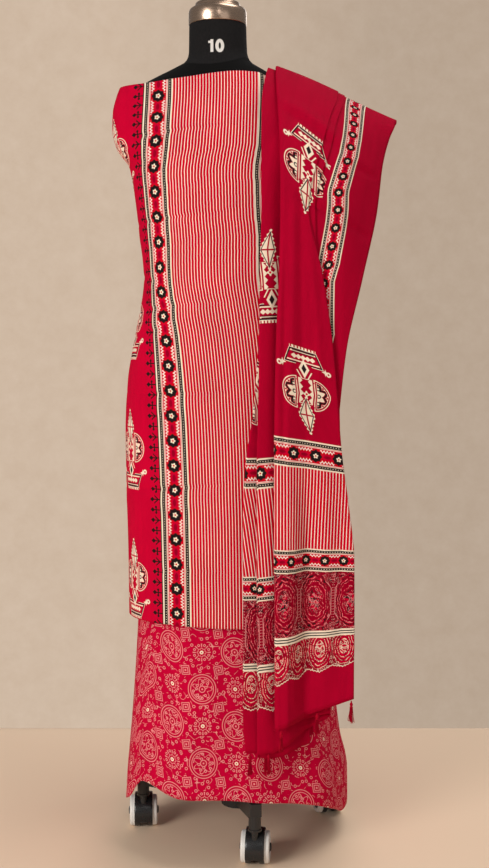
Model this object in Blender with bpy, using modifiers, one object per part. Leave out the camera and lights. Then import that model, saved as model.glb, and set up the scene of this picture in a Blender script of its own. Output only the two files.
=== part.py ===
"""Three block-printed cloths of one dress set, draped on a dress form with a caster base.

Metres, +Z up, the wearer's front towards -Y. Plan positions are measured from the stand's
upright; STAND_PLACE then sets the upright so that the whole stands centred on the origin.
"""
import math

import bmesh
import bpy
from mathutils import Matrix, Vector

# ---------------------------------------------------------------- driving dimensions
STAND_PLACE = (-0.031, 0.012, 0.0)      # the upright's foot in the part's own frame
PIECE_GAP = 0.0003                      # air between pieces that bear on each other

BASE_RADIUS = 0.188                     # upright to each caster's stem
BASE_TURN = math.radians(9.5)           # the front leg points this far to the right
HUB_RADIUS = 0.034
HUB_BOTTOM, HUB_TOP = 0.042, 0.092
LEG_WIDTH, LEG_HEIGHT = 0.020, 0.028
LEG_FOOT_AT_HUB, LEG_FOOT_AT_SOCKET = 0.046, 0.092
SOCKET_SIZE, SOCKET_BOTTOM, SOCKET_TOP = 0.022, 0.098, 0.125
BUSHING_RADIUS = 0.0115
STEM_RADIUS, STEM_TOP, STEM_BORE = 0.0050, 0.120, 0.0055

WHEEL_RADIUS = 0.030
AXLE_TRAIL = 0.020                      # the axle lies this far behind the stem
AXLE_RADIUS, AXLE_BORE, AXLE_HALF = 0.0040, 0.0044, 0.0215
HOOD_INNER, HOOD_OUTER, HOOD_HALF_WIDTH = 0.0322, 0.0350, 0.0175
HOOD_START, HOOD_SWEEP = math.radians(-20), math.radians(160)
HOOD_WEB_HALF = 0.0060
BOSS_RADIUS, BOSS_TOP = 0.0064, 0.0705
COLLAR_RADIUS, COLLAR_TOP = 0.0125, 0.0745

POLE_RADIUS = 0.0125
FORM_BOTTOM = 0.765                     # the lowest edge of the padded form
NECK_CENTRE = -0.037                    # the neck stands to the left of the upright
NECK_TOP = 1.531
NECK_RADIUS = 0.0525

CLOTH_THICKNESS = 0.0015                # kurta and skirt lengths
SHAWL_THICKNESS = 0.0012                # the long shawl
ROUND_STEPS = 20                        # facets of a turned piece
CASTER_STEPS = 14                       # facets of the casters' stems and collars
WHEEL_STEPS = 16                        # facets of a wheel, which stands on one of them

CASTERS = (                             # name, direction of its leg, turn of its hood
    ("front", -90, -5),
    ("right", 0, 14),
    ("rear", 90, -12),
    ("left", 180, 4),
)

# The form's plan ovals, lowest first: centre and half sizes at each height.
FORM_COLUMNS = ("height", "centre", "left", "right", "front", "back", "square")
FORM_SECTIONS = (
    (FORM_BOTTOM, -0.012, 0.155, 0.155, 0.102, 0.102, 2.2),
    (0.800, -0.013, 0.163, 0.163, 0.110, 0.110, 2.2),
    (0.860, -0.014, 0.1658, 0.1658, 0.1136, 0.1156, 2.2),
    (0.940, -0.017, 0.149, 0.149, 0.102, 0.105, 2.2),
    (1.030, -0.021, 0.120, 0.120, 0.088, 0.082, 2.1),
    (1.120, -0.025, 0.134, 0.134, 0.100, 0.084, 2.2),
    (1.215, -0.029, 0.150, 0.150, 0.120, 0.088, 2.3),
    (1.290, -0.032, 0.158, 0.154, 0.106, 0.090, 2.4),
    (1.340, -0.034, 0.174, 0.168, 0.090, 0.086, 2.3),
    (1.375, -0.036, 0.181, 0.173, 0.078, 0.080, 2.2),
    (1.398, -0.037, 0.176, 0.158, 0.071, 0.076, 2.1),
    (1.420, -0.037, 0.147, 0.136, 0.067, 0.071, 2.1),
    (1.436, -0.037, 0.118, 0.1125, 0.064, 0.067, 2.0),
    (1.452, -0.037, 0.084, 0.0835, 0.060, 0.063, 2.0),
    (1.466, -0.037, 0.059, 0.061, 0.057, 0.059, 2.0),
    (1.482, -0.037, 0.0535, 0.0545, 0.0540, 0.0550, 2.0),
    (NECK_TOP, -0.037, NECK_RADIUS, NECK_RADIUS, NECK_RADIUS, NECK_RADIUS, 2.0),
)

# The long top cloth is wrapped round the form and lapped at the back, hem first.
KURTA_COLUMNS = ("height", "centre", "left", "right", "front", "back", "square")
KURTA_SECTIONS = (
    (0.430, 0.000, 0.2090, 0.196, 0.1640, 0.1720, 2.7),
    (0.550, 0.000, 0.2095, 0.195, 0.1580, 0.1640, 2.7),
    (0.690, 0.000, 0.2120, 0.194, 0.1520, 0.1530, 2.7),
    (0.785, 0.000, 0.2125, 0.193, 0.1490, 0.1450, 2.7),
    (0.880, 0.000, 0.2075, 0.190, 0.1460, 0.1360, 2.6),
    (0.940, 0.000, 0.1975, 0.186, 0.1430, 0.1290, 2.6),
    (1.000, 0.000, 0.1850, 0.180, 0.1400, 0.1210, 2.6),
    (1.068, 0.000, 0.1755, 0.172, 0.1370, 0.1120, 2.6),
    (1.160, 0.000, 0.1840, 0.160, 0.1325, 0.1040, 2.6),
    (1.235, 0.000, 0.1930, 0.148, 0.1260, 0.0990, 2.7),
    (1.275, 0.000, 0.2010, 0.140, 0.1190, 0.0980, 2.7),
    (1.308, 0.000, 0.2240, 0.142, 0.1130, 0.0960, 2.6),
    (1.345, 0.000, 0.2320, 0.148, 0.1020, 0.0930, 2.5),
    (1.375, 0.000, 0.2310, 0.146, 0.0860, 0.0860, 2.4),
    (1.400, 0.000, 0.2250, 0.134, 0.0765, 0.0785, 2.3),
    (1.440, 0.000, 0.2090, 0.106, 0.0662, 0.0690, 2.2),
)
# Rim and hem heights by the share of the way round: -1 back lap, 0 front, 1 back lap.
KURTA_RIM_COLUMNS = ("share", "rim", "hem")
KURTA_RIM = (
    (-1.00, 1.428, 0.436),
    (-0.70, 1.424, 0.430),
    (-0.50, 1.417, 0.427),
    (-0.35, 1.415, 0.440),
    (-0.20, 1.421, 0.443),
    (0.00, 1.438, 0.439),
    (0.11, 1.436, 0.445),
    (0.155, 1.428, 0.448),
    (0.20, 1.405, 0.448),
    (0.35, 1.380, 0.446),
    (0.50, 1.358, 0.440),
    (0.70, 1.395, 0.436),
    (0.86, 1.426, 0.438),
    (1.00, 1.428, 0.438),
)

SKIRT_COLUMNS = ("height", "centre", "left", "right", "front", "back", "square")
SKIRT_SECTIONS = (
    (0.070, 0.000, 0.2220, 0.210, 0.2120, 0.2120, 2.4),
    (0.130, 0.000, 0.2170, 0.209, 0.2080, 0.2090, 2.4),
    (0.200, -0.002, 0.2080, 0.196, 0.1930, 0.1930, 2.4),
    (0.300, -0.004, 0.1980, 0.186, 0.1720, 0.1720, 2.4),
    (0.420, -0.006, 0.1890, 0.178, 0.1500, 0.1520, 2.4),
    (0.560, -0.008, 0.1820, 0.174, 0.1360, 0.1380, 2.3),
    (0.700, -0.010, 0.1760, 0.171, 0.1260, 0.1280, 2.3),
    (0.860, -0.014, 0.1712, 0.1712, 0.1182, 0.1212, 2.2),
    (0.940, -0.017, 0.1560, 0.156, 0.1090, 0.1120, 2.2),
)
SKIRT_RIM_COLUMNS = ("share", "rim", "hem")
SKIRT_RIM = (
    (-1.00, 0.935, 0.100),
    (-0.72, 0.932, 0.094),
    (-0.52, 0.930, 0.077),
    (-0.40, 0.931, 0.079),
    (-0.33, 0.931, 0.098),
    (-0.27, 0.932, 0.144),
    (-0.14, 0.934, 0.133),
    (0.00, 0.936, 0.135),
    (0.20, 0.934, 0.127),
    (0.37, 0.932, 0.073),
    (0.45, 0.931, 0.074),
    (0.52, 0.930, 0.080),
    (0.72, 0.932, 0.096),
    (1.00, 0.935, 0.102),
)
SKIRT_FOLDS = 9                         # soft upright waves round the hem
SKIRT_FOLD_DEPTH = 0.0035

# The shawl, a row for each line across it from the front hem over the shoulder to the back
# hem. "turn" is 0 where the cloth faces the front, 90 on the shoulder and 180 behind;
# "out" and "up" place the outermost layer, "pitch" parts the layers. "slope" is how far the
# line falls along the shoulder, "lift" raises the front layer's outer edge, "drop" lowers the
# second pleat and "lean" lets the free edge fall back. The rest are the sideways places of the
# folds: free edge, tuck, front edge, inner edge, then the hidden and shown folds of the two
# pleats behind it, and the far edge.
SHAWL_COLUMNS = ("turn", "out", "up", "pitch", "slope", "lift", "drop", "lean", "edge", "tuck",
                 "front", "inner", "back_1", "pleat_2", "back_2", "pleat_3", "far")
SHAWL_ROWS = (
    (0, -.238, .2815, .0048, 0, .050, .053, 0, .156, .140, .2045, .065, .165, .035, .130, .014, .137),
    (0, -.230, .350, .0050, 0, .034, .056, 0, .156, .140, .205, .065, .165, .035, .130, .010, .135),
    (0, -.221, .432, .0050, 0, .013, .057, 0, .156, .140, .206, .065, .165, .035, .130, .010, .132),
    (0, -.214, .575, .0052, 0, -.004, .057, 0, .158, .140, .205, .064, .165, .034, .130, .010, .130),
    (0, -.209, .680, .0052, 0, -.012, .053, 0, .168, .140, .195, .064, .165, .034, .130, .010, .130),
    (0, -.206, .780, .0052, 0, -.020, .046, 0, .174, .136, .182, .064, .163, .034, .130, .014, .130),
    (0, -.204, .865, .0050, 0, -.016, .040, .020, .184, .146, .174, .067, .160, .036, .135, .027, .133),
    (0, -.201, .960, .0048, 0, -.012, .026, .040, .198, .144, .165, .070, .160, .038, .140, .036, .138),
    (0, -.194, 1.080, .0046, 0, -.012, .013, .060, .226, .138, .147, .075, .163, .039, .148, .041, .143),
    (0, -.184, 1.200, .0042, .012, -.008, .005, .080, .250, .134, .122, .077, .166, .042, .155, .044, .148),
    (0, -.163, 1.300, .0036, .040, 0, 0, .070, .264, .160, .145, .077, .170, .042, .160, .045, .155),
    (14, -.131, 1.372, .0028, .064, 0, 0, .050, .274, .175, .162, .077, .175, .043, .166, .047, .162),
    (38, -.0935, 1.4200, .0022, .086, 0, 0, .020, .282, .188, .176, .078, .178, .049, .170, .053, .168),
    (66, -.046, 1.4514, .0021, .098, 0, 0, 0, .289, .194, .182, .080, .180, .055, .172, .058, .170),
    (90, .002, 1.4592, .0021, .104, 0, 0, 0, .294, .196, .184, .081, .180, .057, .172, .060, .170),
    (114, .050, 1.4518, .0022, .100, 0, 0, 0, .292, .194, .182, .081, .180, .056, .172, .058, .170),
    (142, .096, 1.420, .0026, .086, 0, 0, 0, .287, .190, .178, .080, .178, .052, .170, .054, .168),
    (166, .132, 1.362, .0030, .064, 0, 0, .010, .280, .184, .172, .078, .175, .047, .166, .049, .163),
    (180, .152, 1.260, .0040, .036, 0, 0, .020, .268, .172, .160, .077, .170, .043, .160, .044, .156),
    (180, .166, 1.100, .0046, .010, -.004, .010, .020, .244, .150, .158, .074, .165, .038, .150, .036, .146),
    (180, .188, .900, .0050, 0, 0, .024, .010, .216, .146, .172, .068, .163, .034, .140, .026, .138),
    (180, .210, .680, .0052, 0, .010, .037, 0, .196, .142, .186, .062, .163, .030, .132, .014, .132),
    (180, .229, .430, .0052, 0, .026, .048, 0, .180, .140, .194, .060, .163, .028, .130, .008, .130),
)
SHAWL_LAYERS = {"edge": 2, "tuck": 1, "front": 0, "inner": 3, "back_1": 4, "pleat_2": 5,
                "back_2": 6, "pleat_3": 7}
LEAN_START, LEAN_END = 0.180, 0.290     # the free edge falls back between these places
SHAWL_LENGTH_STEPS, SHAWL_FOLD_STEPS, SHAWL_RUN_STEPS = 26, 2, 1
OPEN_FOLD_EASE = 0.30                   # keeps an opening fold's turn and its neighbour's apart
SHOULDER_SLOPE = ((0.040, 0.095), (0.118, -0.185), (0.200, -0.55), (0.277, -0.90), (0.294, -0.97))
# How far each share of the width hangs below the front layer, in drops.
SAG = ((0.36, 0.0), (0.47, 0.40), (0.60, 1.0), (0.74, 1.22), (0.88, 0.95), (1.00, 1.05))
# An upright bend down the front fall: between these places the cloth turns back by the depth
# given for each height, and the part to its left stands forward.
BEND_START, BEND_END, BEND_FORWARD = 0.087, 0.118, 0.6
FRONT_BEND = ((0.20, 0.020), (0.32, 0.027), (0.45, 0.029), (0.60, 0.023), (0.75, 0.012),
              (0.90, 0.005), (1.05, 0.001), (1.15, 0.0))

TASSEL_HEAD, TASSEL_NECK, TASSEL_LENGTH = 0.0062, 0.0026, 0.040
TASSEL_FORWARD = 0.0022                 # it hangs at the outer face of the hem
TASSELS = {                             # end of the shawl: layer and sideways place of each
    "front": ((0, 0.200), (0, 0.140), (0, 0.076), (4, 0.055), (6, 0.022), (7, 0.050)),
    "back": ((0, 0.188), (0, 0.128), (0, 0.068), (6, 0.014)),
}

COLOURS = {                             # base colour, roughness, metallic
    "form_jersey": ((0.012, 0.011, 0.012, 1), 0.95, 0.0),
    "steel": ((0.46, 0.43, 0.40, 1), 0.30, 1.0),
    "base_black": ((0.012, 0.012, 0.013, 1), 0.42, 0.0),
    "hood_black": ((0.015, 0.015, 0.016, 1), 0.38, 0.0),
    "wheel_white": ((0.82, 0.80, 0.76, 1), 0.45, 0.0),
    "kurta_print": ((0.60, 0.004, 0.030, 1), 0.80, 0.0),
    "skirt_print": ((0.58, 0.015, 0.055, 1), 0.82, 0.0),
    "shawl_print": ((0.60, 0.003, 0.032, 1), 0.74, 0.0),
    "tassel_thread": ((0.62, 0.004, 0.030, 1), 0.85, 0.0),
}


# ---------------------------------------------------------------- scene helpers
def clear_scene():
    for thing in list(bpy.data.objects):
        bpy.data.objects.remove(thing, do_unlink=True)


def new_collection(name):
    collection = bpy.data.collections.new(name)
    bpy.context.scene.collection.children.link(collection)
    return collection


def make_materials():
    made = {}
    for name, (colour, roughness, metallic) in COLOURS.items():
        material = bpy.data.materials.new(name)
        material.use_nodes = True
        shader = material.node_tree.nodes["Principled BSDF"]
        shader.inputs["Base Color"].default_value = colour
        shader.inputs["Roughness"].default_value = roughness
        shader.inputs["Metallic"].default_value = metallic
        made[name] = material
    return made


clear_scene()
PARTS = new_collection("ajrakh_cloths_on_dress_form")
CUTTERS = new_collection("cutters")
MATERIALS = make_materials()
STAND = bpy.data.objects.new("stand_place", None)
STAND.location = STAND_PLACE
PARTS.objects.link(STAND)


def add_object(name, mesh, material, place=(0, 0, 0), turn=(0, 0, 0)):
    """A named sub-part, placed from the foot of the stand's upright."""
    piece = bpy.data.objects.new(name, mesh)
    if not mesh.materials:
        mesh.materials.append(MATERIALS[material])
    piece.parent = STAND
    piece.location = place
    piece.rotation_euler = turn
    PARTS.objects.link(piece)
    return piece


def mesh_from(bm, name, smooth=True):
    mesh = bpy.data.meshes.new(name)
    bm.to_mesh(mesh)
    bm.free()
    if smooth:
        mesh.shade_smooth()
        mesh.set_sharp_from_angle(angle=math.radians(35))
    return mesh


def cylinder_mesh(name, radius, bottom, top, steps=ROUND_STEPS):
    bm = bmesh.new()
    middle = Matrix.Translation((0, 0, (bottom + top) / 2))
    bmesh.ops.create_cone(bm, cap_ends=True, segments=steps, radius1=radius, radius2=radius,
                          depth=top - bottom, matrix=middle)
    return mesh_from(bm, name)


def turned_object(name, profile, material, place=(0, 0, 0), turn=(0, 0, 0), on_facets=False):
    """A profile of (radius, height) points, top to bottom, turned about its own Z.

    With on_facets the flats lie on the true circle, and one of them faces along X.
    """
    steps = WHEEL_STEPS if on_facets else ROUND_STEPS
    start, grow = (math.pi / steps, 1 / math.cos(math.pi / steps)) if on_facets else (0.0, 1.0)
    mesh = bpy.data.meshes.new(name)
    points = [(radius * grow * math.cos(start), radius * grow * math.sin(start), height)
              for radius, height in profile]
    mesh.from_pydata(points, [(i, i + 1) for i in range(len(points) - 1)], [])
    piece = add_object(name, mesh, material, place, turn)
    screw = piece.modifiers.new("turn", "SCREW")
    screw.axis = "Z"
    screw.steps = steps
    screw.render_steps = steps
    screw.use_merge_vertices = True
    screw.merge_threshold = 0.00001
    screw.use_smooth_shade = False
    return piece


def combine(piece, tools, operation):
    """Joins the tools to a piece, or cuts them from it."""
    for tool_mesh in tools:
        tool = bpy.data.objects.new(f"{piece.name}_{tool_mesh.name}", tool_mesh)
        tool.parent = piece
        tool.hide_render = True
        tool.display_type = "WIRE"
        CUTTERS.objects.link(tool)
        step = piece.modifiers.new(tool_mesh.name, "BOOLEAN")
        step.operation = operation
        step.solver = "EXACT"
        step.object = tool


def settled_mesh(piece, name):
    """The piece's mesh with its joins and cuts made; the piece itself is taken away."""
    bpy.context.view_layer.update()
    seen = piece.evaluated_get(bpy.context.evaluated_depsgraph_get())
    mesh = bpy.data.meshes.new_from_object(seen)
    mesh.name = name
    tools = [tool for tool in CUTTERS.objects if tool.parent == piece]
    bpy.data.objects.remove(piece, do_unlink=True)
    for tool in tools:
        bpy.data.objects.remove(tool, do_unlink=True)
    return mesh


# ---------------------------------------------------------------- tables and smooth curves
def read_table(columns, rows):
    return {name: [row[i] for row in rows] for i, name in enumerate(columns)}


def smooth_at(stops, values, at):
    """A smooth curve through the values that never overshoots between its stops."""
    last = len(stops) - 1
    if at <= stops[0]:
        return values[0]
    if at >= stops[last]:
        return values[last]
    i = max(k for k in range(last) if stops[k] <= at)
    slopes = [(values[k + 1] - values[k]) / (stops[k + 1] - stops[k]) for k in range(last)]

    def slope_at(k):
        if k == 0 or k == last or slopes[k - 1] * slopes[k] <= 0:
            return 0.0 if 0 < k < last else slopes[min(k, last - 1)]
        return 2 * slopes[k - 1] * slopes[k] / (slopes[k - 1] + slopes[k])

    span = stops[i + 1] - stops[i]
    t = (at - stops[i]) / span
    start = values[i] * (1 + 2 * t) * (1 - t) ** 2 + span * slope_at(i) * t * (1 - t) ** 2
    end = values[i + 1] * t * t * (3 - 2 * t) - span * slope_at(i + 1) * t * t * (1 - t)
    return start + end


def section_at(table, height):
    return {name: smooth_at(table["height"], values, height)
            for name, values in table.items() if name != "height"}


def oval_point(section, turn):
    """A point of a plan oval: turn is 0 at the front and grows towards +X."""
    across, along = math.sin(turn), math.cos(turn)
    power = 2.0 / section["square"]
    half_width = section["right"] if across > 0 else section["left"]
    half_depth = section["front"] if along > 0 else section["back"]
    x = math.copysign(abs(across) ** power, across) * half_width
    y = -math.copysign(abs(along) ** power, along) * half_depth
    return Vector((section["centre"] + x, y))


def walk_round(section, side, lap, steps=72):
    """Points from the front round one side to the back, and on by the lap."""
    furthest = math.pi + lap
    return [oval_point(section, side * furthest * i / steps) for i in range(steps + 1)]


def point_along(points, share):
    lengths = [0.0]
    for a, b in zip(points, points[1:]):
        lengths.append(lengths[-1] + (b - a).length)
    goal = share * lengths[-1]
    i = max(k for k in range(len(points) - 1) if lengths[k] <= goal + 1e-12)
    t = (goal - lengths[i]) / (lengths[i + 1] - lengths[i])
    return points[i].lerp(points[i + 1], min(t, 1.0))


def add_sheet(name, rows, columns, place, thickness, material):
    """A thin cloth: a grid whose corners are set by place(share along, share across)."""
    bm = bmesh.new()
    bmesh.ops.create_grid(bm, x_segments=columns, y_segments=rows, size=0.5)
    for corner in bm.verts:
        corner.co = place(corner.co.y + 0.5, corner.co.x + 0.5)
    piece = add_object(name, mesh_from(bm, name), material)
    wall = piece.modifiers.new("cloth", "SOLIDIFY")
    wall.thickness = thickness
    wall.offset = 0.0
    return piece


# ---------------------------------------------------------------- the dress form
def make_form():
    table = read_table(FORM_COLUMNS, FORM_SECTIONS)
    heights = table["height"]
    steps = 24
    bm = bmesh.new()
    bmesh.ops.create_grid(bm, x_segments=steps, y_segments=len(heights) - 1, size=0.5)
    for corner in bm.verts:
        row = round((corner.co.y + 0.5) * (len(heights) - 1))
        turn = 2 * math.pi * round((corner.co.x + 0.5) * steps) / steps
        spot = oval_point(section_at(table, heights[row]), turn)
        corner.co = (spot.x, spot.y, heights[row])
    bmesh.ops.remove_doubles(bm, verts=bm.verts, dist=0.00001)
    bmesh.ops.holes_fill(bm, edges=bm.edges)
    bmesh.ops.recalc_face_normals(bm, faces=bm.faces)
    add_object("form_torso", mesh_from(bm, "form_torso"), "form_jersey")

    foot = NECK_TOP + PIECE_GAP
    cap = ((0.0, foot + 0.0405), (0.0380, foot + 0.0405), (0.0405, foot + 0.0390),
           (0.0415, foot + 0.0360), (0.0420, foot + 0.0320), (0.0500, foot + 0.0290),
           (0.0530, foot + 0.0240), (0.0535, foot + 0.0180), (0.0535, foot), (0.0, foot))
    turned_object("neck_cap", cap, "steel", (NECK_CENTRE, 0, 0))
    seat = foot + 0.0405 + PIECE_GAP
    knob = ((0.0, seat + 0.032), (0.0100, seat + 0.0315), (0.0170, seat + 0.0285),
            (0.0210, seat + 0.0230), (0.0222, seat + 0.0150), (0.0215, seat + 0.0040),
            (0.0195, seat), (0.0, seat))
    turned_object("neck_knob", knob, "steel", (NECK_CENTRE, 0, 0))


# ---------------------------------------------------------------- the stand
def leg_direction(angle):
    turn = math.radians(angle) + BASE_TURN
    return Vector((math.cos(turn), math.sin(turn), 0))


def leg_mesh(angle):
    """A flat bar that climbs from the hub to its socket."""
    bm = bmesh.new()
    bmesh.ops.create_cube(bm, size=1.0)
    reach = BASE_RADIUS - HUB_RADIUS / 2
    for corner in bm.verts:
        share = corner.co.x + 0.5
        foot = LEG_FOOT_AT_HUB + share * (LEG_FOOT_AT_SOCKET - LEG_FOOT_AT_HUB)
        corner.co = (HUB_RADIUS / 2 + share * reach, corner.co.y * LEG_WIDTH,
                     foot + (corner.co.z + 0.5) * LEG_HEIGHT)
    bm.transform(Matrix.Rotation(math.radians(angle) + BASE_TURN, 4, "Z"))
    return mesh_from(bm, f"leg_{angle}", smooth=False)


def socket_mesh(angle):
    bm = bmesh.new()
    bmesh.ops.create_cube(bm, size=1.0)
    tall = SOCKET_TOP - SOCKET_BOTTOM
    bm.transform(Matrix.Diagonal((SOCKET_SIZE, SOCKET_SIZE, tall, 1)))
    bmesh.ops.bevel(bm, geom=bm.edges[:], offset=0.0015, segments=1, profile=0.5,
                    affect="EDGES", material=-1)
    turn = Matrix.Rotation(math.radians(angle) + BASE_TURN, 4, "Z")
    place = leg_direction(angle) * BASE_RADIUS
    place.z = (SOCKET_TOP + SOCKET_BOTTOM) / 2
    bm.transform(Matrix.Translation(place) @ turn)
    return mesh_from(bm, f"socket_{angle}", smooth=False)


def moved_cylinder(name, angle, radius, bottom, top):
    mesh = cylinder_mesh(name, radius, bottom, top, CASTER_STEPS)
    mesh.transform(Matrix.Translation(leg_direction(angle) * BASE_RADIUS))
    return mesh


def make_base():
    hub = cylinder_mesh("base_frame", HUB_RADIUS, HUB_BOTTOM, HUB_TOP)
    base = add_object("base_frame", hub, "base_black")
    joined = []
    bores = []
    for _, angle, _ in CASTERS:
        joined.append(leg_mesh(angle))
        joined.append(socket_mesh(angle))
        joined.append(moved_cylinder(f"bushing_{angle}", angle, BUSHING_RADIUS,
                                     COLLAR_TOP + PIECE_GAP, SOCKET_BOTTOM + 0.004))
        bores.append(moved_cylinder(f"bore_{angle}", angle, STEM_BORE,
                                    COLLAR_TOP - 0.005, STEM_TOP + PIECE_GAP))
    combine(base, joined, "UNION")
    combine(base, bores, "DIFFERENCE")
    pole = cylinder_mesh("pole", POLE_RADIUS, HUB_TOP + PIECE_GAP, FORM_BOTTOM - PIECE_GAP)
    add_object("pole", pole, "steel")


# ---------------------------------------------------------------- casters
def hood_arc(name, inner, outer, half_width):
    """An arc round the axle; the hood's own frame has the stem on Z and the axle behind it."""
    bm = bmesh.new()
    corners = [bm.verts.new((x, -radius, 0)) for x, radius in
               ((-half_width, inner), (half_width, inner), (half_width, outer), (-half_width, outer))]
    face = bm.faces.new(corners)
    bmesh.ops.rotate(bm, verts=corners, matrix=Matrix.Rotation(-HOOD_START, 3, "X"))
    bmesh.ops.spin(bm, geom=[face, *face.edges, *face.verts], axis=(1, 0, 0), cent=(0, 0, 0),
                   angle=-HOOD_SWEEP, steps=8, use_merge=False)
    bmesh.ops.translate(bm, verts=bm.verts, vec=(0, AXLE_TRAIL, WHEEL_RADIUS))
    bmesh.ops.recalc_face_normals(bm, faces=bm.faces)
    return mesh_from(bm, name)


def hood_mesh():
    web = hood_arc("hood", 0.002, HOOD_INNER + 0.0012, HOOD_WEB_HALF)
    hood = add_object("hood_pattern", web, "hood_black")
    guard = hood_arc("guard", HOOD_INNER, HOOD_OUTER, HOOD_HALF_WIDTH)
    boss_foot = WHEEL_RADIUS + 0.012
    boss = cylinder_mesh("boss", BOSS_RADIUS, boss_foot, BOSS_TOP + 0.001, CASTER_STEPS)
    collar = cylinder_mesh("collar", COLLAR_RADIUS, BOSS_TOP, COLLAR_TOP, CASTER_STEPS)
    stem = cylinder_mesh("stem", STEM_RADIUS, COLLAR_TOP - 0.001, STEM_TOP, CASTER_STEPS)
    axle = cylinder_mesh("axle", AXLE_RADIUS, -AXLE_HALF, AXLE_HALF, CASTER_STEPS)
    axle.transform(Matrix.Translation((0, AXLE_TRAIL, WHEEL_RADIUS))
                   @ Matrix.Rotation(math.radians(90), 4, "Y"))
    combine(hood, [guard, boss, collar, stem, axle], "UNION")
    return settled_mesh(hood, "caster_hood")


WHEEL_PROFILE = (                       # radius, distance out from the caster's middle
    (0.0, 0.0295), (0.0070, 0.0288), (0.0090, 0.0242), (0.0200, 0.0242), (0.0218, 0.0266),
    (0.0270, 0.0262), (0.0290, 0.0235), (0.0288, 0.0182), (WHEEL_RADIUS, 0.0172),
    (WHEEL_RADIUS, 0.0072), (AXLE_BORE, 0.0072), (AXLE_BORE, 0.0222), (0.0, 0.0222),
)


def make_casters():
    shared = hood_mesh()
    for name, angle, heading in CASTERS:
        place = leg_direction(angle) * BASE_RADIUS
        turn = math.radians(heading)
        add_object(f"caster_{name}_hood", shared, "hood_black", place, (0, 0, turn))
        behind = Matrix.Rotation(turn, 3, "Z") @ Vector((0, AXLE_TRAIL, WHEEL_RADIUS))
        for side, tip in (("left", -90), ("right", 90)):
            turned_object(f"caster_{name}_wheel_{side}", WHEEL_PROFILE, "wheel_white",
                          place + behind, (0, math.radians(tip), turn), on_facets=True)


# ---------------------------------------------------------------- wrapped cloths
def wrapped_place(sections, rim, lap, lap_gap, fold):
    """Sets a cloth round the form: across runs from the back lap over the front and back."""
    def place(along, across):
        share = 2 * across - 1
        low = smooth_at(rim["share"], rim["hem"], share)
        high = smooth_at(rim["share"], rim["rim"], share)
        height = low + along * (high - low)
        section = section_at(sections, height)
        side = 1 if share > 0 else -1
        spot = point_along(walk_round(section, side, lap), abs(share))
        outward = Vector((spot.x - section["centre"], spot.y)).normalized()
        over_the_other = min(1.0, max(0.0, share - 0.70) / 0.18) * lap_gap
        spot += outward * (fold(share, height) + over_the_other)
        return Vector((spot.x, spot.y, height))
    return place


def kurta_fold(share, height):
    """Slack at the sides and back; the front stays smooth."""
    slack = min(1.0, max(0.0, abs(share) - 0.45) / 0.2, max(0.0, 0.92 - abs(share)) / 0.12)
    lower = min(1.0, max(0.0, 1.25 - height) / 0.5)
    return 0.004 * slack * lower * math.sin(share * 17.0 + 1.3 * math.sin(height * 4.0))


def skirt_fold(share, height):
    away_from_lap = min(1.0, max(0.0, 0.94 - abs(share)) / 0.10)
    depth = SKIRT_FOLD_DEPTH * away_from_lap * min(1.0, max(0.0, 0.62 - height) / 0.35)
    return depth * math.sin(share * math.pi * SKIRT_FOLDS + 2.0 * math.sin(share * 3.1))


def make_wrapped_cloths():
    kurta = wrapped_place(read_table(KURTA_COLUMNS, KURTA_SECTIONS),
                          read_table(KURTA_RIM_COLUMNS, KURTA_RIM), 0.16, 0.0060, kurta_fold)
    add_sheet("kurta_cloth", 15, 38, kurta, CLOTH_THICKNESS, "kurta_print")
    skirt = wrapped_place(read_table(SKIRT_COLUMNS, SKIRT_SECTIONS),
                          read_table(SKIRT_RIM_COLUMNS, SKIRT_RIM), 0.14, 0.0050, skirt_fold)
    add_sheet("bottom_cloth", 9, 38, skirt, CLOTH_THICKNESS, "skirt_print")


# ---------------------------------------------------------------- the shawl
def shawl_row(table, share):
    """The named sizes of one line across the shawl, share 0 at the front hem."""
    stops = [i / (len(table["turn"]) - 1) for i in range(len(table["turn"]))]
    return {name: smooth_at(stops, values, share) for name, values in table.items()}


def fold_points(x, layer_in, layer_out, k_in, k_out, pitch, steps):
    """The turn of a fold at x from one layer to the next, as (x, layer) points."""
    radius = min(abs(layer_out - layer_in) * pitch / 2, 0.006)
    early, late = OPEN_FOLD_EASE * (1 - abs(k_in)), OPEN_FOLD_EASE * (1 - abs(k_out))
    points = []
    for i in range(steps + 1):
        t = i / steps
        lean = k_in + (k_out - k_in) * t
        rise = early + (1 - early - late) * (1 - math.cos(math.pi * t)) / 2
        layer = layer_in + (layer_out - layer_in) * rise
        points.append((x + radius * (1 - math.sin(math.pi * t)) * lean, layer))
    return points


def bend_depth(row, height):
    """How far back the upright bend turns the cloth: only down the front fall."""
    if row["turn"] >= 90:
        return 0.0
    return smooth_at([stop for stop, _ in FRONT_BEND], [deep for _, deep in FRONT_BEND], height)


def run_stops(row, start, end, run_steps):
    """Places along a run of cloth: three spans, which meet at the bend where there is one."""
    kept = min(1.0, bend_depth(row, row["up"]) / 0.004)
    bends = (BEND_START, BEND_END) if start < end else (BEND_END, BEND_START)
    thirds = (start + (end - start) / 3, start + (end - start) * 2 / 3)
    marks = (start, *(a + (b - a) * kept for a, b in zip(thirds, bends)), end)
    return [a + (b - a) * j / run_steps for a, b in zip(marks, marks[1:])
            for j in range(1, run_steps + 1)]


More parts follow.
